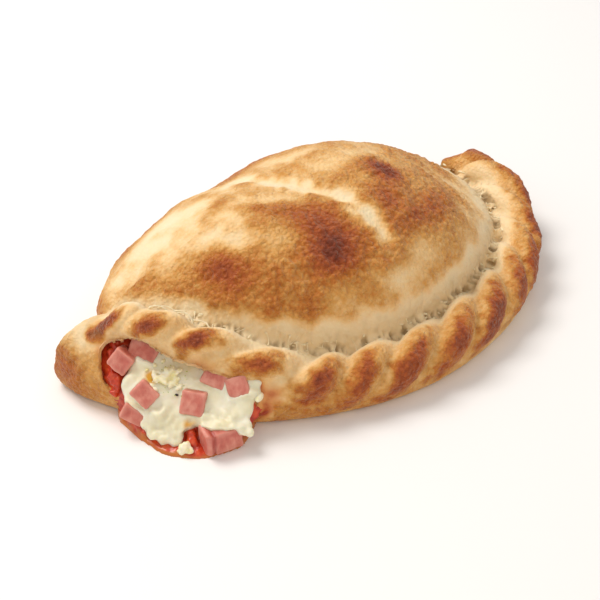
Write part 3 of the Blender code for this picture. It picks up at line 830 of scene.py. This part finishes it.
cheeseParts = {
    "voxel": 0.5,
    "centre": (2.0, 2.0),
    "edge": 2.6,
    "outline": (
        (-19.0, -16.0), (-18.5, -9.0), (-19.5, -3.0), (-21.0, -0.5), (-21.8, 2.0), (-20.7, 4.9), (-20.0, 8.0),
        (-14.0, 10.5), (-10.4, 13.6), (-11.6, 15.8), (-9.4, 18.4), (-7.0, 19.6), (-4.6, 20.6), (-0.7, 21.2),
        (1.5, 18.4), (2.8, 15.4), (6.2, 13.2), (8.5, 15.4), (13.2, 15.6), (19.6, 14.6), (25.2, 15.8),
        (25.0, 12.0), (24.4, 8.6), (25.2, 3.9), (27.0, 1.1), (26.6, -3.7), (25.0, -10.0), (12.0, -19.0), (-10.0, -20.0),
    ),
    "lumps": (  # across, down, level, reach
        (-10.0, 14.2, 17.4, 2.8), (-7.6, 16.6, 17.0, 2.9), (-4.2, 18.2, 17.0, 2.9), (-1.2, 18.8, 17.0, 2.8),
        (0.0, 15.8, 18.0, 2.8), (2.4, 13.0, 18.6, 2.6), (24.6, 14.6, 20.5, 2.0), (25.0, 0.0, 19.2, 2.6),
        (25.2, -4.0, 19.6, 3.0), (-19.0, 3.0, 18.6, 3.0), (-7.5, 10.0, 19.4, 4.0),
    ),
    "sink": (2.2, 2.0, 0.8, 2.9, 2.6, 2.0, 1.9, -0.6),  # how deep the cheese lies below the face of each dice
}


def levelOfDice():
    levels = []
    for name in ham:
        place, half, turn = hamPlace(name)
        across, out, height = ham[name][:3]
        facing = turn.transposed() @ slopeUp
        rise = min(size / max(abs(value), 0.001) for size, value in zip(half, facing))
        levels.append((across, 0.8 * out - 0.6 * height, 0.6 * out + 0.8 * height + rise))
    return levels


diceLevels = levelOfDice()


def cheeseLevel(across, down):
    base = 20.4 - 2.6 * smoothStep(12.0, 22.0, down) - 1.2 * smoothStep(16.0, 27.0, across)
    total, weight = base * 0.3, 0.3
    for (x, y, level), sink in zip(diceLevels, cheeseParts["sink"]):
        share = math.exp(-((across - x) ** 2 + (down - y) ** 2) / 50.0)
        total += share * (level - sink)
        weight += share
    return total / weight


cheeseReach = reachOf(cheeseParts["outline"], cheeseParts["centre"])


def cheesePoint(angle, climb):
    reach, edge = cheeseReach(angle), cheeseParts["edge"]
    x, y = cheeseParts["centre"]
    cosine, sine = math.cos(angle), math.sin(angle)
    rim = cheeseLevel(x + cosine * (reach - edge), y + sine * (reach - edge))
    if climb < 0.2:
        away, level = climb / 0.2 * (reach - edge), rim - 2.0 * edge
    elif climb < 0.4:
        turn = ((climb - 0.2) / 0.2 - 0.5) * math.pi
        away, level = reach - edge + edge * math.cos(turn), rim - edge + edge * math.sin(turn)
    else:
        away = (1.0 - climb) / 0.6 * (reach - edge)
        level = cheeseLevel(x + cosine * away, y + sine * away)
    return slopePlace(x + cosine * away, y + sine * away, level)


def meltCheese():
    cheese = addObject("cheese", loft(cheesePoint, 144, 60))
    mesh = bmesh.new()
    for across, down, level, reach in cheeseParts["lumps"]:
        addBlob(mesh, slopePlace(across, down, level), (reach, reach, reach * 0.85), across)
    joinInto(cheese, [addObject("lumps", mesh)])
    skinOver(cheese, cheeseParts["voxel"])
    edges = getEdges(cheese)
    points = smoothed(getPoints(cheese), edges, 8)
    setPoints(cheese, points)
    normals = getNormals(cheese)
    lift = 0.9 * noiseOver(points, 7.0, 11) + 0.6 * noiseOver(points, 3.2, 12) + 0.12 * noiseOver(points, 1.3, 13)
    rise = np.zeros(len(points))
    for name in ham:
        away = hamDistance(name, points)
        rise = np.maximum(rise, 0.9 * np.clip(1.0 - np.maximum(away, 0.0) / 1.8, 0.0, 1.0) ** 2 * (away > -0.6))
    front = smoothSteps(17.0, 22.0, (points - np.array(mouthPlace(0.0, 0.0, 0.0))) @ np.array(slopeOut))
    lift = lift + front * 1.1 * noiseOver(points, 2.4, 14)
    points = points + normals * lift[:, None] + np.array(slopeUp) * rise[:, None]
    points[:, 2] = np.maximum(points[:, 2], 0.5)
    points = smoothed(points, edges, 1)
    setPoints(cheese, points)
    normals = getNormals(cheese)
    hidden = normals @ np.array(slopeUp) < -0.3
    thinOut(cheese, hidden, 0.15)
    points = getPoints(cheese)
    oil = np.zeros(len(points))
    for across, down, reach in ((-11.2, -2.2, 1.7), (-11.0, -0.4, 1.6), (3.6, 13.6, 1.5), (5.4, 13.4, 1.2)):
        place = np.array(slopePlace(across, down, cheeseLevel(across, down)))
        oil = oil + 1.2 * np.exp(-((np.linalg.norm(points - place, axis=1) / reach) ** 2))
    setAttribute(cheese, "oil", oil)
    return cheese


# Sauce

sauceParts = {
    "voxel": 0.55,
    "puddleCentre": (0.0, 8.0),
    "film": 1.5,
    "heap": 5.0,
    "puddle": (  # across and out, on the table
        (-25.0, 4.0), (-24.6, 9.7), (-22.9, 14.3), (-19.8, 18.6), (-15.9, 22.4), (-12.0, 25.4), (-7.5, 28.4), (-3.0, 30.2),
        (1.9, 31.2), (6.0, 31.2), (10.5, 30.6), (14.0, 29.4), (17.0, 27.6), (20.0, 25.0), (22.4, 22.0), (24.0, 18.0),
        (24.8, 13.0), (25.0, 6.0), (20.0, -6.0), (0.0, -14.0), (-20.0, -6.0),
    ),
    "bedCentre": (0.0, -2.0),
    "bed": (  # across and down, on the slope
        (-32.0, -20.0), (-32.0, -8.0), (-29.0, 0.0), (-23.5, 8.0), (-19.0, 14.0), (-12.0, 18.0), (-4.0, 20.5), (4.0, 20.5),
        (12.0, 19.0), (20.0, 15.0), (25.5, 10.0), (28.5, 4.0), (30.0, -3.0), (30.0, -12.0), (16.0, -24.0), (-18.0, -24.0),
    ),
}

puddleReach = reachOf(sauceParts["puddle"], sauceParts["puddleCentre"])
bedReach = reachOf(sauceParts["bed"], sauceParts["bedCentre"])


def puddlePoint(angle, climb):
    x, y = sauceParts["puddleCentre"]
    reach = puddleReach(angle) * (1.0 + 0.012 * math.sin(5.0 * angle) + 0.01 * math.sin(11.0 * angle + 1.0))
    if climb < 0.2:
        share = climb / 0.2
        return mouthPlace(x + math.cos(angle) * reach * share, y + math.sin(angle) * reach * share, 0.0)
    share = 1.0 - (climb - 0.2) / 0.8
    across, out = x + math.cos(angle) * reach * share, y + math.sin(angle) * reach * share
    height = sauceParts["film"] + sauceParts["heap"] * (1.0 - smoothStep(6.0, 22.0, out))
    return mouthPlace(across, out, height * (1.0 - share ** 14) ** 0.5)


def bedLevel(across, down):
    steep = 19.6 - 0.8 * max(0.0, down + 1.0)
    return mix(steep + 0.8, 17.4, smoothStep(-25.0, -16.0, across))


def bedPoint(angle, climb):
    x, y = sauceParts["bedCentre"]
    share = climb / 0.3 if climb < 0.3 else (1.0 - climb) / 0.7
    away = bedReach(angle) * share
    across, down = x + math.cos(angle) * away, y + math.sin(angle) * away
    level = bedLevel(across, down) - (4.0 if climb < 0.3 else 4.0 * share ** 8)
    place = slopePlace(across, down, level)
    place.z = max(place.z, 0.2)
    return place


def spoonSauce():
    sauce = addObject("sauce", loft(puddlePoint, 128, 40))
    bed = addObject("bed", loft(bedPoint, 96, 40))
    mesh = bmesh.new()
    lot = random.Random(5)
    for i in range(30):  # chunks up the left side of the mouth
        down = lot.uniform(-14.0, 4.5)
        across = -22.5 - 3.5 * lot.random() + 0.12 * down
        size = lot.uniform(0.8, 1.5)
        addBlob(mesh, slopePlace(across, down, bedLevel(across, down)), (size, size * 0.8, size * 0.8), lot.uniform(0.0, 3.0))
    for across, out, height, size in ((-14.0, 20.5, 2.6, 2.2), (-12.0, 22.0, 2.2, 1.9), (-16.5, 18.5, 2.4, 1.8),
                                      (5.0, 25.5, 3.0, 2.2), (4.6, 23.5, 4.6, 2.0)):
        addBlob(mesh, mouthPlace(across, out, height), (size, size * 0.8, size * 0.8), across)
    for i in range(90):  # chunks in the puddle
        across, out = lot.choice(((-18.0, 18.0), (-15.0, 21.0), (5.0, 27.0), (6.0, 27.0), (0.0, 27.0), (22.0, 18.0)))
        across, out = across + lot.gauss(0.0, 2.4), out + lot.gauss(0.0, 1.8)
        size = lot.uniform(0.6, 1.4)
        x, y = sauceParts["puddleCentre"]
        if math.hypot(across - x, out - y) > puddleReach(math.atan2(out - y, across - x)) - 3.0:
            continue
        addBlob(mesh, mouthPlace(across, out, sauceParts["film"] - 0.4), (size, size * 0.8, size * 0.7), lot.uniform(0.0, 3.0))
    joinInto(sauce, [bed, addObject("chunks", mesh)])
    skinOver(sauce, sauceParts["voxel"])
    edges = getEdges(sauce)
    points = smoothed(getPoints(sauce), edges, 2)
    setPoints(sauce, points)
    normals = getNormals(sauce)
    lift = 0.5 * noiseOver(points, 2.8, 21) + 0.3 * noiseOver(points, 1.2, 22)
    points = points + normals * (lift * smoothSteps(0.5, 2.0, points[:, 2]))[:, None]
    points[:, 2] = np.maximum(points[:, 2], 0.0)
    setPoints(sauce, points)
    normals = getNormals(sauce)
    hidden = (normals[:, 2] < -0.3) & (points[:, 2] < 30.0)
    thinOut(sauce, hidden, 0.2)
    points = getPoints(sauce)
    origin = mouthPlace(0.0, 0.0, 0.0)
    acrossLine = np.array(mouthPlace(1.0, 0.0, 0.0) - origin)
    outLine = np.array(mouthPlace(0.0, 1.0, 0.0) - origin)
    x, y = sauceParts["puddleCentre"]
    across = (points - np.array(origin)) @ acrossLine - x
    out = (points - np.array(origin)) @ outLine - y
    reach = np.array([puddleReach(a) for a in np.arctan2(out, across)])
    fromEdge = reach - np.hypot(across, out)
    oil = (1.0 - smoothSteps(0.3, 2.2, fromEdge + 1.6 * noiseOver(points, 3.0, 23))) * (points[:, 2] < 3.0)
    setAttribute(sauce, "oil", oil)
    return sauce


# Crumbs, herbs and pepper

crumbs = {
    "curdHeart": (-6.0, -2.4),
    "curdCount": 70,
    "herbCount": 30,
}


def sprinkle():
    lot = random.Random(8)
    curds = bmesh.new()
    across, down = crumbs["curdHeart"]
    for i in range(crumbs["curdCount"]):
        x, y = across + lot.gauss(0.0, 2.6), down + lot.gauss(0.0, 2.1)
        size = lot.uniform(0.5, 1.3)
        addBlob(curds, slopePlace(x, y, cheeseLevel(x, y) + lot.uniform(-0.2, 0.9)),
                (size, size * lot.uniform(0.7, 1.0), size * 0.8), lot.uniform(0.0, 3.0))
    for x, out, height, size in ((3.0, 28.6, 2.6, 2.2), (5.0, 29.2, 2.2, 1.6), (2.0, 29.6, 1.8, 1.4), (4.2, 27.8, 3.6, 1.3)):
        addBlob(curds, mouthPlace(x, out, height), (size, size * 0.85, size * 0.85), x)
    curdObject = addObject("curds", curds)
    skinOver(curdObject, 0.36)
    points = smoothed(getPoints(curdObject), getEdges(curdObject), 2)
    setPoints(curdObject, points)
    points = points + getNormals(curdObject) * (0.5 * noiseOver(points, 1.3, 31))[:, None]
    setPoints(curdObject, points)

    grain = bmesh.new()
    addBlob(grain, slopePlace(27.0, 1.6, 19.4), (2.4, 1.3, 1.3), 0.5, 0.5)
    joinInto(curdObject, [addObject("grain", grain)])

    herbs = bmesh.new()
    for i in range(crumbs["herbCount"]):
        x, y = across + 2.5 + lot.gauss(0.0, 4.0), down + 1.0 + lot.gauss(0.0, 3.6)
        size = lot.uniform(0.2, 0.42)
        addBlob(herbs, slopePlace(x, y, cheeseLevel(x, y) + 0.5), (size, size * 0.6, size * 0.4),
                lot.uniform(0.0, 3.0), lot.uniform(-0.6, 0.6), 2)
    herbObject = addObject("herb_flecks", herbs)
    pepper = bmesh.new()
    addBlob(pepper, slopePlace(-1.4, 3.6, cheeseLevel(-1.4, 3.6) + 0.1), (0.4, 0.7, 0.4), 0.6)
    pepperObject = addObject("pepper_grain", pepper)
    return curdObject, herbObject, pepperObject


# Materials

def colour(code):  # sRGB hex to linear
    values = [int(code[i:i + 2], 16) / 255.0 for i in (1, 3, 5)]
    linear = [v / 12.92 if v <= 0.04045 else ((v + 0.055) / 1.055) ** 2.4 for v in values]
    return (*linear, 1.0)


def addNode(tree, kind, settings=None, links=None):
    node = tree.nodes.new(kind)
    for name, value in (settings or {}).items():
        if name == "stops":
            ramp = node.color_ramp
            while len(ramp.elements) < len(value):
                ramp.elements.new(0.5)
            for element, (place, code) in zip(ramp.elements, value):
                element.position = place
                element.color = colour(code)
        elif isinstance(name, int) or name in node.inputs:
            node.inputs[name].default_value = value
        else:
            setattr(node, name, value)
    for name, source in (links or {}).items():
        tree.links.new(source, node.inputs[name])
    return node


def startMaterial(name):
    material = bpy.data.materials.new(name)
    material.use_nodes = True
    tree = material.node_tree
    return material, tree, tree.nodes["Principled BSDF"]


def bakedDough():  # wheat dough baked in a hot oven: pale and matt in the creases, toasted and slightly shiny on top
    material, tree, shader = startMaterial("bakedDough")
    place = addNode(tree, "ShaderNodeTexCoord").outputs["Object"]
    toast = addNode(tree, "ShaderNodeAttribute", {"attribute_name": "toast"}).outputs["Fac"]
    pit = addNode(tree, "ShaderNodeAttribute", {"attribute_name": "pit"}).outputs["Fac"]
    stain = addNode(tree, "ShaderNodeAttribute", {"attribute_name": "stain"}).outputs["Fac"]
    freckle = addNode(tree, "ShaderNodeTexNoise", {"Scale": 1 / 0.0019, "Detail": 5.0, "Roughness": 0.65},
                      {"Vector": place}).outputs["Fac"]
    cloud = addNode(tree, "ShaderNodeTexNoise", {"Scale": 1 / 0.011, "Detail": 3.0, "Roughness": 0.6},
                    {"Vector": place}).outputs["Fac"]
    blister = addNode(tree, "ShaderNodeTexVoronoi", {"Scale": 1 / 0.0014, "feature": "SMOOTH_F1", "Smoothness": 0.35},
                      {"Vector": place}).outputs["Distance"]
    frecklePart = addNode(tree, "ShaderNodeMath", {"operation": "MULTIPLY_ADD", 1: 0.36, 2: -0.18}, {0: freckle}).outputs[0]
    cloudPart = addNode(tree, "ShaderNodeMath", {"operation": "MULTIPLY_ADD", 1: 0.16, 2: -0.12}, {0: cloud}).outputs[0]
    strength = addNode(tree, "ShaderNodeMapRange", {"From Min": 0.05, "From Max": 0.5, "To Min": 0.15, "To Max": 1.0},
                       {"Value": toast}).outputs["Result"]
    blisterPart = addNode(tree, "ShaderNodeMath", {"operation": "MULTIPLY_ADD", 1: 0.1}, {0: blister, 2: cloudPart}).outputs[0]
    spread = addNode(tree, "ShaderNodeMath", {"operation": "ADD"}, {0: frecklePart, 1: blisterPart}).outputs[0]
    level = addNode(tree, "ShaderNodeMath", {"operation": "MULTIPLY_ADD"}, {0: spread, 1: strength, 2: toast}).outputs[0]
    shade = addNode(tree, "ShaderNodeValToRGB", {"stops": (
        (0.0, "#EDDCB6"), (0.13, "#EFD5A8"), (0.23, "#EFC78C"), (0.36, "#E0A557"),
        (0.5, "#D08030"), (0.66, "#B75A20"), (0.82, "#8E3A16"), (1.0, "#552210"))}, {"Fac": level}).outputs["Color"]
    # painted shade: dark tan mixed in where the crust lies in shade, in the seam crevice, the creases and the dome's
    # foot
    shadedDough = addNode(tree, "ShaderNodeMix", {"data_type": "RGBA", "blend_type": "MIX", 7: colour("#8A6A3C")},
                     {0: pit, 6: shade}).outputs[2]
    # the darkest end of this ramp also serves as painted shadow under the lip's inner edge
    soakedAndShadowed = addNode(tree, "ShaderNodeValToRGB", {"stops": ((0.2, "#E0A048"), (0.75, "#D27A28"), (1.0, "#A83A1A"))},
                     {"Fac": stain}).outputs["Color"]
    stainedAndShadowed = addNode(tree, "ShaderNodeMix", {"data_type": "RGBA", "blend_type": "MIX"},
                      {0: stain, 6: shadedDough, 7: soakedAndShadowed}).outputs[2]
    rough = addNode(tree, "ShaderNodeMapRange", {"From Min": 0.2, "From Max": 0.9, "To Min": 0.72, "To Max": 0.46},
                    {"Value": level}).outputs["Result"]
    bumpHeight = addNode(tree, "ShaderNodeMath", {"operation": "MULTIPLY_ADD", 1: -0.5}, {0: blister, 2: freckle}).outputs[0]
    bumpStrength = addNode(tree, "ShaderNodeMapRange", {"From Min": 0.12, "From Max": 0.45, "To Min": 0.3, "To Max": 1.0},
                           {"Value": toast}).outputs["Result"]
    bump = addNode(tree, "ShaderNodeBump", {"Distance": 0.0023}, {"Height": bumpHeight, "Strength": bumpStrength})
    for name, source in (("Base Color", stainedAndShadowed), ("Roughness", rough), ("Normal", bump.outputs["Normal"])):
        tree.links.new(source, shader.inputs[name])
    shader.inputs["Subsurface Weight"].default_value = 0.12
    shader.inputs["Subsurface Radius"].default_value = (1.0, 0.55, 0.3)
    shader.inputs["Subsurface Scale"].default_value = 0.0025
    shader.inputs["IOR"].default_value = 1.42
    shader.inputs["Specular IOR Level"].default_value = 0.46
    shader.inputs["Sheen Weight"].default_value = 0.24
    shader.inputs["Sheen Roughness"].default_value = 0.35
    shader.inputs["Sheen Tint"].default_value = colour("#FFEFDC")
    return material


def meltedMozzarella():  # fresh cheese, melted and setting: milky, soft edged, satin
    material, tree, shader = startMaterial("meltedMozzarella")
    place = addNode(tree, "ShaderNodeTexCoord").outputs["Object"]
    oil = addNode(tree, "ShaderNodeAttribute", {"attribute_name": "oil"}).outputs["Fac"]
    cloud = addNode(tree, "ShaderNodeTexNoise", {"Scale": 1 / 0.007, "Detail": 3.0}, {"Vector": place}).outputs["Fac"]
    grain = addNode(tree, "ShaderNodeTexNoise", {"Scale": 1 / 0.0012, "Detail": 3.0}, {"Vector": place}).outputs["Fac"]
    shade = addNode(tree, "ShaderNodeValToRGB", {"stops": ((0.3, "#E4DCBA"), (0.55, "#E9E4C9"), (0.75, "#EFEBD8"))},
                    {"Fac": cloud}).outputs["Color"]
    oily = addNode(tree, "ShaderNodeMix", {"data_type": "RGBA", 7: colour("#E0A63C")}, {0: oil, 6: shade}).outputs[2]
    bump = addNode(tree, "ShaderNodeBump", {"Strength": 0.2, "Distance": 0.0004}, {"Height": grain})
    for name, source in (("Base Color", oily), ("Normal", bump.outputs["Normal"])):
        tree.links.new(source, shader.inputs[name])
    shader.inputs["Roughness"].default_value = 0.38
    shader.inputs["Subsurface Weight"].default_value = 0.45
    shader.inputs["Subsurface Radius"].default_value = (1.0, 0.8, 0.55)
    shader.inputs["Subsurface Scale"].default_value = 0.003
    shader.inputs["IOR"].default_value = 1.4
    return material


def crumblyCurd():  # grated cheese that has only half melted: dry, yellowish
    material, tree, shader = startMaterial("crumblyCurd")
    place = addNode(tree, "ShaderNodeTexCoord").outputs["Object"]
    cloud = addNode(tree, "ShaderNodeTexNoise", {"Scale": 1 / 0.003, "Detail": 4.0}, {"Vector": place}).outputs["Fac"]
    shade = addNode(tree, "ShaderNodeValToRGB", {"stops": ((0.35, "#E9DDA0"), (0.5, "#F3EBC6"), (0.7, "#F8F3DF"))},
                    {"Fac": cloud}).outputs["Color"]
    tree.links.new(shade, shader.inputs["Base Color"])
    shader.inputs["Roughness"].default_value = 0.55
    shader.inputs["Subsurface Weight"].default_value = 0.3
    shader.inputs["Subsurface Radius"].default_value = (1.0, 0.8, 0.5)
    shader.inputs["Subsurface Scale"].default_value = 0.0015
    return material


def tomatoSauce():  # cooked crushed tomato with oil: wet and glossy, orange where it thins out
    material, tree, shader = startMaterial("tomatoSauce")
    place = addNode(tree, "ShaderNodeTexCoord").outputs["Object"]
    oil = addNode(tree, "ShaderNodeAttribute", {"attribute_name": "oil"}).outputs["Fac"]
    pulp = addNode(tree, "ShaderNodeTexNoise", {"Scale": 1 / 0.0025, "Detail": 4.0}, {"Vector": place}).outputs["Fac"]
    shade = addNode(tree, "ShaderNodeValToRGB", {"stops": ((0.3, "#A02A14"), (0.5, "#C63E1F"), (0.7, "#DB5C2C"))},
                    {"Fac": pulp}).outputs["Color"]
    oily = addNode(tree, "ShaderNodeMix", {"data_type": "RGBA", 7: colour("#BE6E2C")}, {0: oil, 6: shade}).outputs[2]
    bump = addNode(tree, "ShaderNodeBump", {"Strength": 0.4, "Distance": 0.0005}, {"Height": pulp})
    for name, source in (("Base Color", oily), ("Normal", bump.outputs["Normal"])):
        tree.links.new(source, shader.inputs[name])
    shader.inputs["Roughness"].default_value = 0.28
    shader.inputs["Subsurface Weight"].default_value = 0.15
    shader.inputs["Subsurface Radius"].default_value = (1.0, 0.25, 0.1)
    shader.inputs["Subsurface Scale"].default_value = 0.0015
    return material


def cookedHam(name, jointed):  # brined cooked ham, cut in dice: even pink, moist, faintly fibrous
    material, tree, shader = startMaterial(name)
    place = addNode(tree, "ShaderNodeTexCoord").outputs["Object"]
    stretched = addNode(tree, "ShaderNodeMapping", {"Rotation": (0.3, 0.5, 0.7), "Scale": (1.0, 1.0, 0.35)},
                        {"Vector": place}).outputs["Vector"]
    fibre = addNode(tree, "ShaderNodeTexNoise", {"Scale": 1 / 0.0016, "Detail": 4.0, "Roughness": 0.6},
                    {"Vector": stretched}).outputs["Fac"]
    cloud = addNode(tree, "ShaderNodeTexNoise", {"Scale": 1 / 0.006, "Detail": 2.0}, {"Vector": place}).outputs["Fac"]
    level = addNode(tree, "ShaderNodeMath", {"operation": "MULTIPLY_ADD", 1: 0.5}, {0: fibre, 2: cloud}).outputs[0]
    shade = addNode(tree, "ShaderNodeValToRGB", {"stops": ((0.55, "#BA5C4E"), (0.75, "#C96F60"), (0.95, "#DA9280"))},
                    {"Fac": level}).outputs["Color"]
    # painted highlight: pale pink mixed in along every edge of the dice
    edge = addNode(tree, "ShaderNodeAttribute", {"attribute_name": "edge"}).outputs["Fac"]
    edgeHighlight = addNode(tree, "ShaderNodeMath", {"operation": "MULTIPLY", 1: 0.55}, {0: edge}).outputs[0]
    shade = addNode(tree, "ShaderNodeMix", {"data_type": "RGBA", 7: colour("#E2A491")}, {0: edgeHighlight, 6: shade}).outputs[2]
    if jointed:
        joint = addNode(tree, "ShaderNodeAttribute", {"attribute_name": "joint"}).outputs["Fac"]
        shade = addNode(tree, "ShaderNodeMix", {"data_type": "RGBA", 7: colour("#9E2A18")}, {0: joint, 6: shade}).outputs[2]
    bump = addNode(tree, "ShaderNodeBump", {"Strength": 0.3, "Distance": 0.0003}, {"Height": fibre})
    for inputName, source in (("Base Color", shade), ("Normal", bump.outputs["Normal"])):
        tree.links.new(source, shader.inputs[inputName])
    shader.inputs["Roughness"].default_value = 0.42
    shader.inputs["Subsurface Weight"].default_value = 0.25
    shader.inputs["Subsurface Radius"].default_value = (1.0, 0.35, 0.25)
    shader.inputs["Subsurface Scale"].default_value = 0.002
    return material


def plainMatter(name, code, roughness):
    material, tree, shader = startMaterial(name)
    shader.inputs["Base Color"].default_value = colour(code)
    shader.inputs["Roughness"].default_value = roughness
    return material


def finishPiece(obj, material, slotName, *nodes):
    settleIn(obj)
    obj.data.materials.clear()
    obj.data.materials.append(material)
    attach(obj, "root")
    if nodes:
        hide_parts(*nodes)


# Putting it together

crustPiece, *seamFacts = bakeCrust()
crustPiece.name = "baked_crust"
threadPiece = tearThreads(*seamFacts)
doughMaterial = bakedDough()
finishPiece(crustPiece, doughMaterial, "baked_dough", "crust")
finishPiece(threadPiece, doughMaterial, "baked_dough")
print("crust done")
cheesePiece = meltCheese()
cheesePiece.name = "mozzarella"
finishPiece(cheesePiece, meltedMozzarella(), "melted_mozzarella", "cheese")
print("cheese done")
saucePiece = spoonSauce()
saucePiece.name = "tomato_sauce"
finishPiece(saucePiece, tomatoSauce(), "tomato_sauce", "sauce")
print("sauce done")
plainHam, jointedHam = cookedHam("cookedHam", False), cookedHam("cookedHamPair", True)
for name in ham:
    finishPiece(cutHam(name), jointedHam if name == "ham_8" else plainHam, "cooked_ham", name)
print("ham done")
curdPiece, herbPiece, pepperPiece = sprinkle()
finishPiece(curdPiece, crumblyCurd(), "melted_mozzarella")
finishPiece(herbPiece, plainMatter("driedHerb", "#B2B653", 0.7), "melted_mozzarella")
finishPiece(pepperPiece, plainMatter("crushedPepper", "#2A201A", 0.6), "baked_dough")
print("crumbs done")


# Floor, light and camera

studio = {
    "floorSize": 3.0,
    "floorColour": "#F4F3F1",
    "worldStrength": 0.6,
    "keyPlace": (-0.2, 0.55, 0.9),
    "keyPower": 8.0,
    "keySize": 0.5,
    "keyTint": "#FFFAF6",
    "fillPlace": (-0.5, -0.8, 0.6),
    "fillPower": 2.1,
    "fillSize": 0.8,
    "fillTint": "#FFE2BC",
    "lens": 85.0,
    "cameraPlace": Vector((-295.5, -355.0, 334.2)),
    "cameraAim": Vector((-14.84, -21.64, 9.77)),
}

floorMesh = bmesh.new()
bmesh.ops.create_grid(floorMesh, x_segments=1, y_segments=1, size=studio["floorSize"] / 2.0)
floor = addObject("floor", floorMesh)
floor.data.materials.append(plainMatter("paleTable", studio["floorColour"], 0.6))


def addLight(name, place, power, size, tint):
    data = bpy.data.lights.new(name, "AREA")
    data.energy = power
    data.color = colour(tint)[:3]
    data.size = size
    light = bpy.data.objects.new(name, data)
    light.location = place
    light.rotation_euler = Vector(place).to_track_quat("Z", "Y").to_euler()
    bpy.context.scene.collection.objects.link(light)


addLight("key", studio["keyPlace"], studio["keyPower"], studio["keySize"], studio["keyTint"])
addLight("fill", studio["fillPlace"], studio["fillPower"], studio["fillSize"], studio["fillTint"])
world = bpy.data.worlds.new("softSky")
world.use_nodes = True
world.node_tree.nodes["Background"].inputs["Color"].default_value = (1.0, 1.0, 1.0, 1.0)
world.node_tree.nodes["Background"].inputs["Strength"].default_value = studio["worldStrength"]
bpy.context.scene.world = world
bpy.context.scene.view_settings.view_transform = "Standard"
bpy.context.scene.cycles.use_denoising = True

cameraData = bpy.data.cameras.new("camera")
cameraData.lens = studio["lens"]
cameraData.sensor_width = 36.0
cameraData.clip_start = 0.01
camera = bpy.data.objects.new("camera", cameraData)
camera.location = studio["cameraPlace"] * mm + settle
lookAlong = (studio["cameraAim"] - studio["cameraPlace"]).normalized()
camera.rotation_euler = lookAlong.to_track_quat("-Z", "Y").to_euler()
bpy.context.scene.collection.objects.link(camera)
bpy.context.scene.camera = camera

bpy.context.view_layer.update()
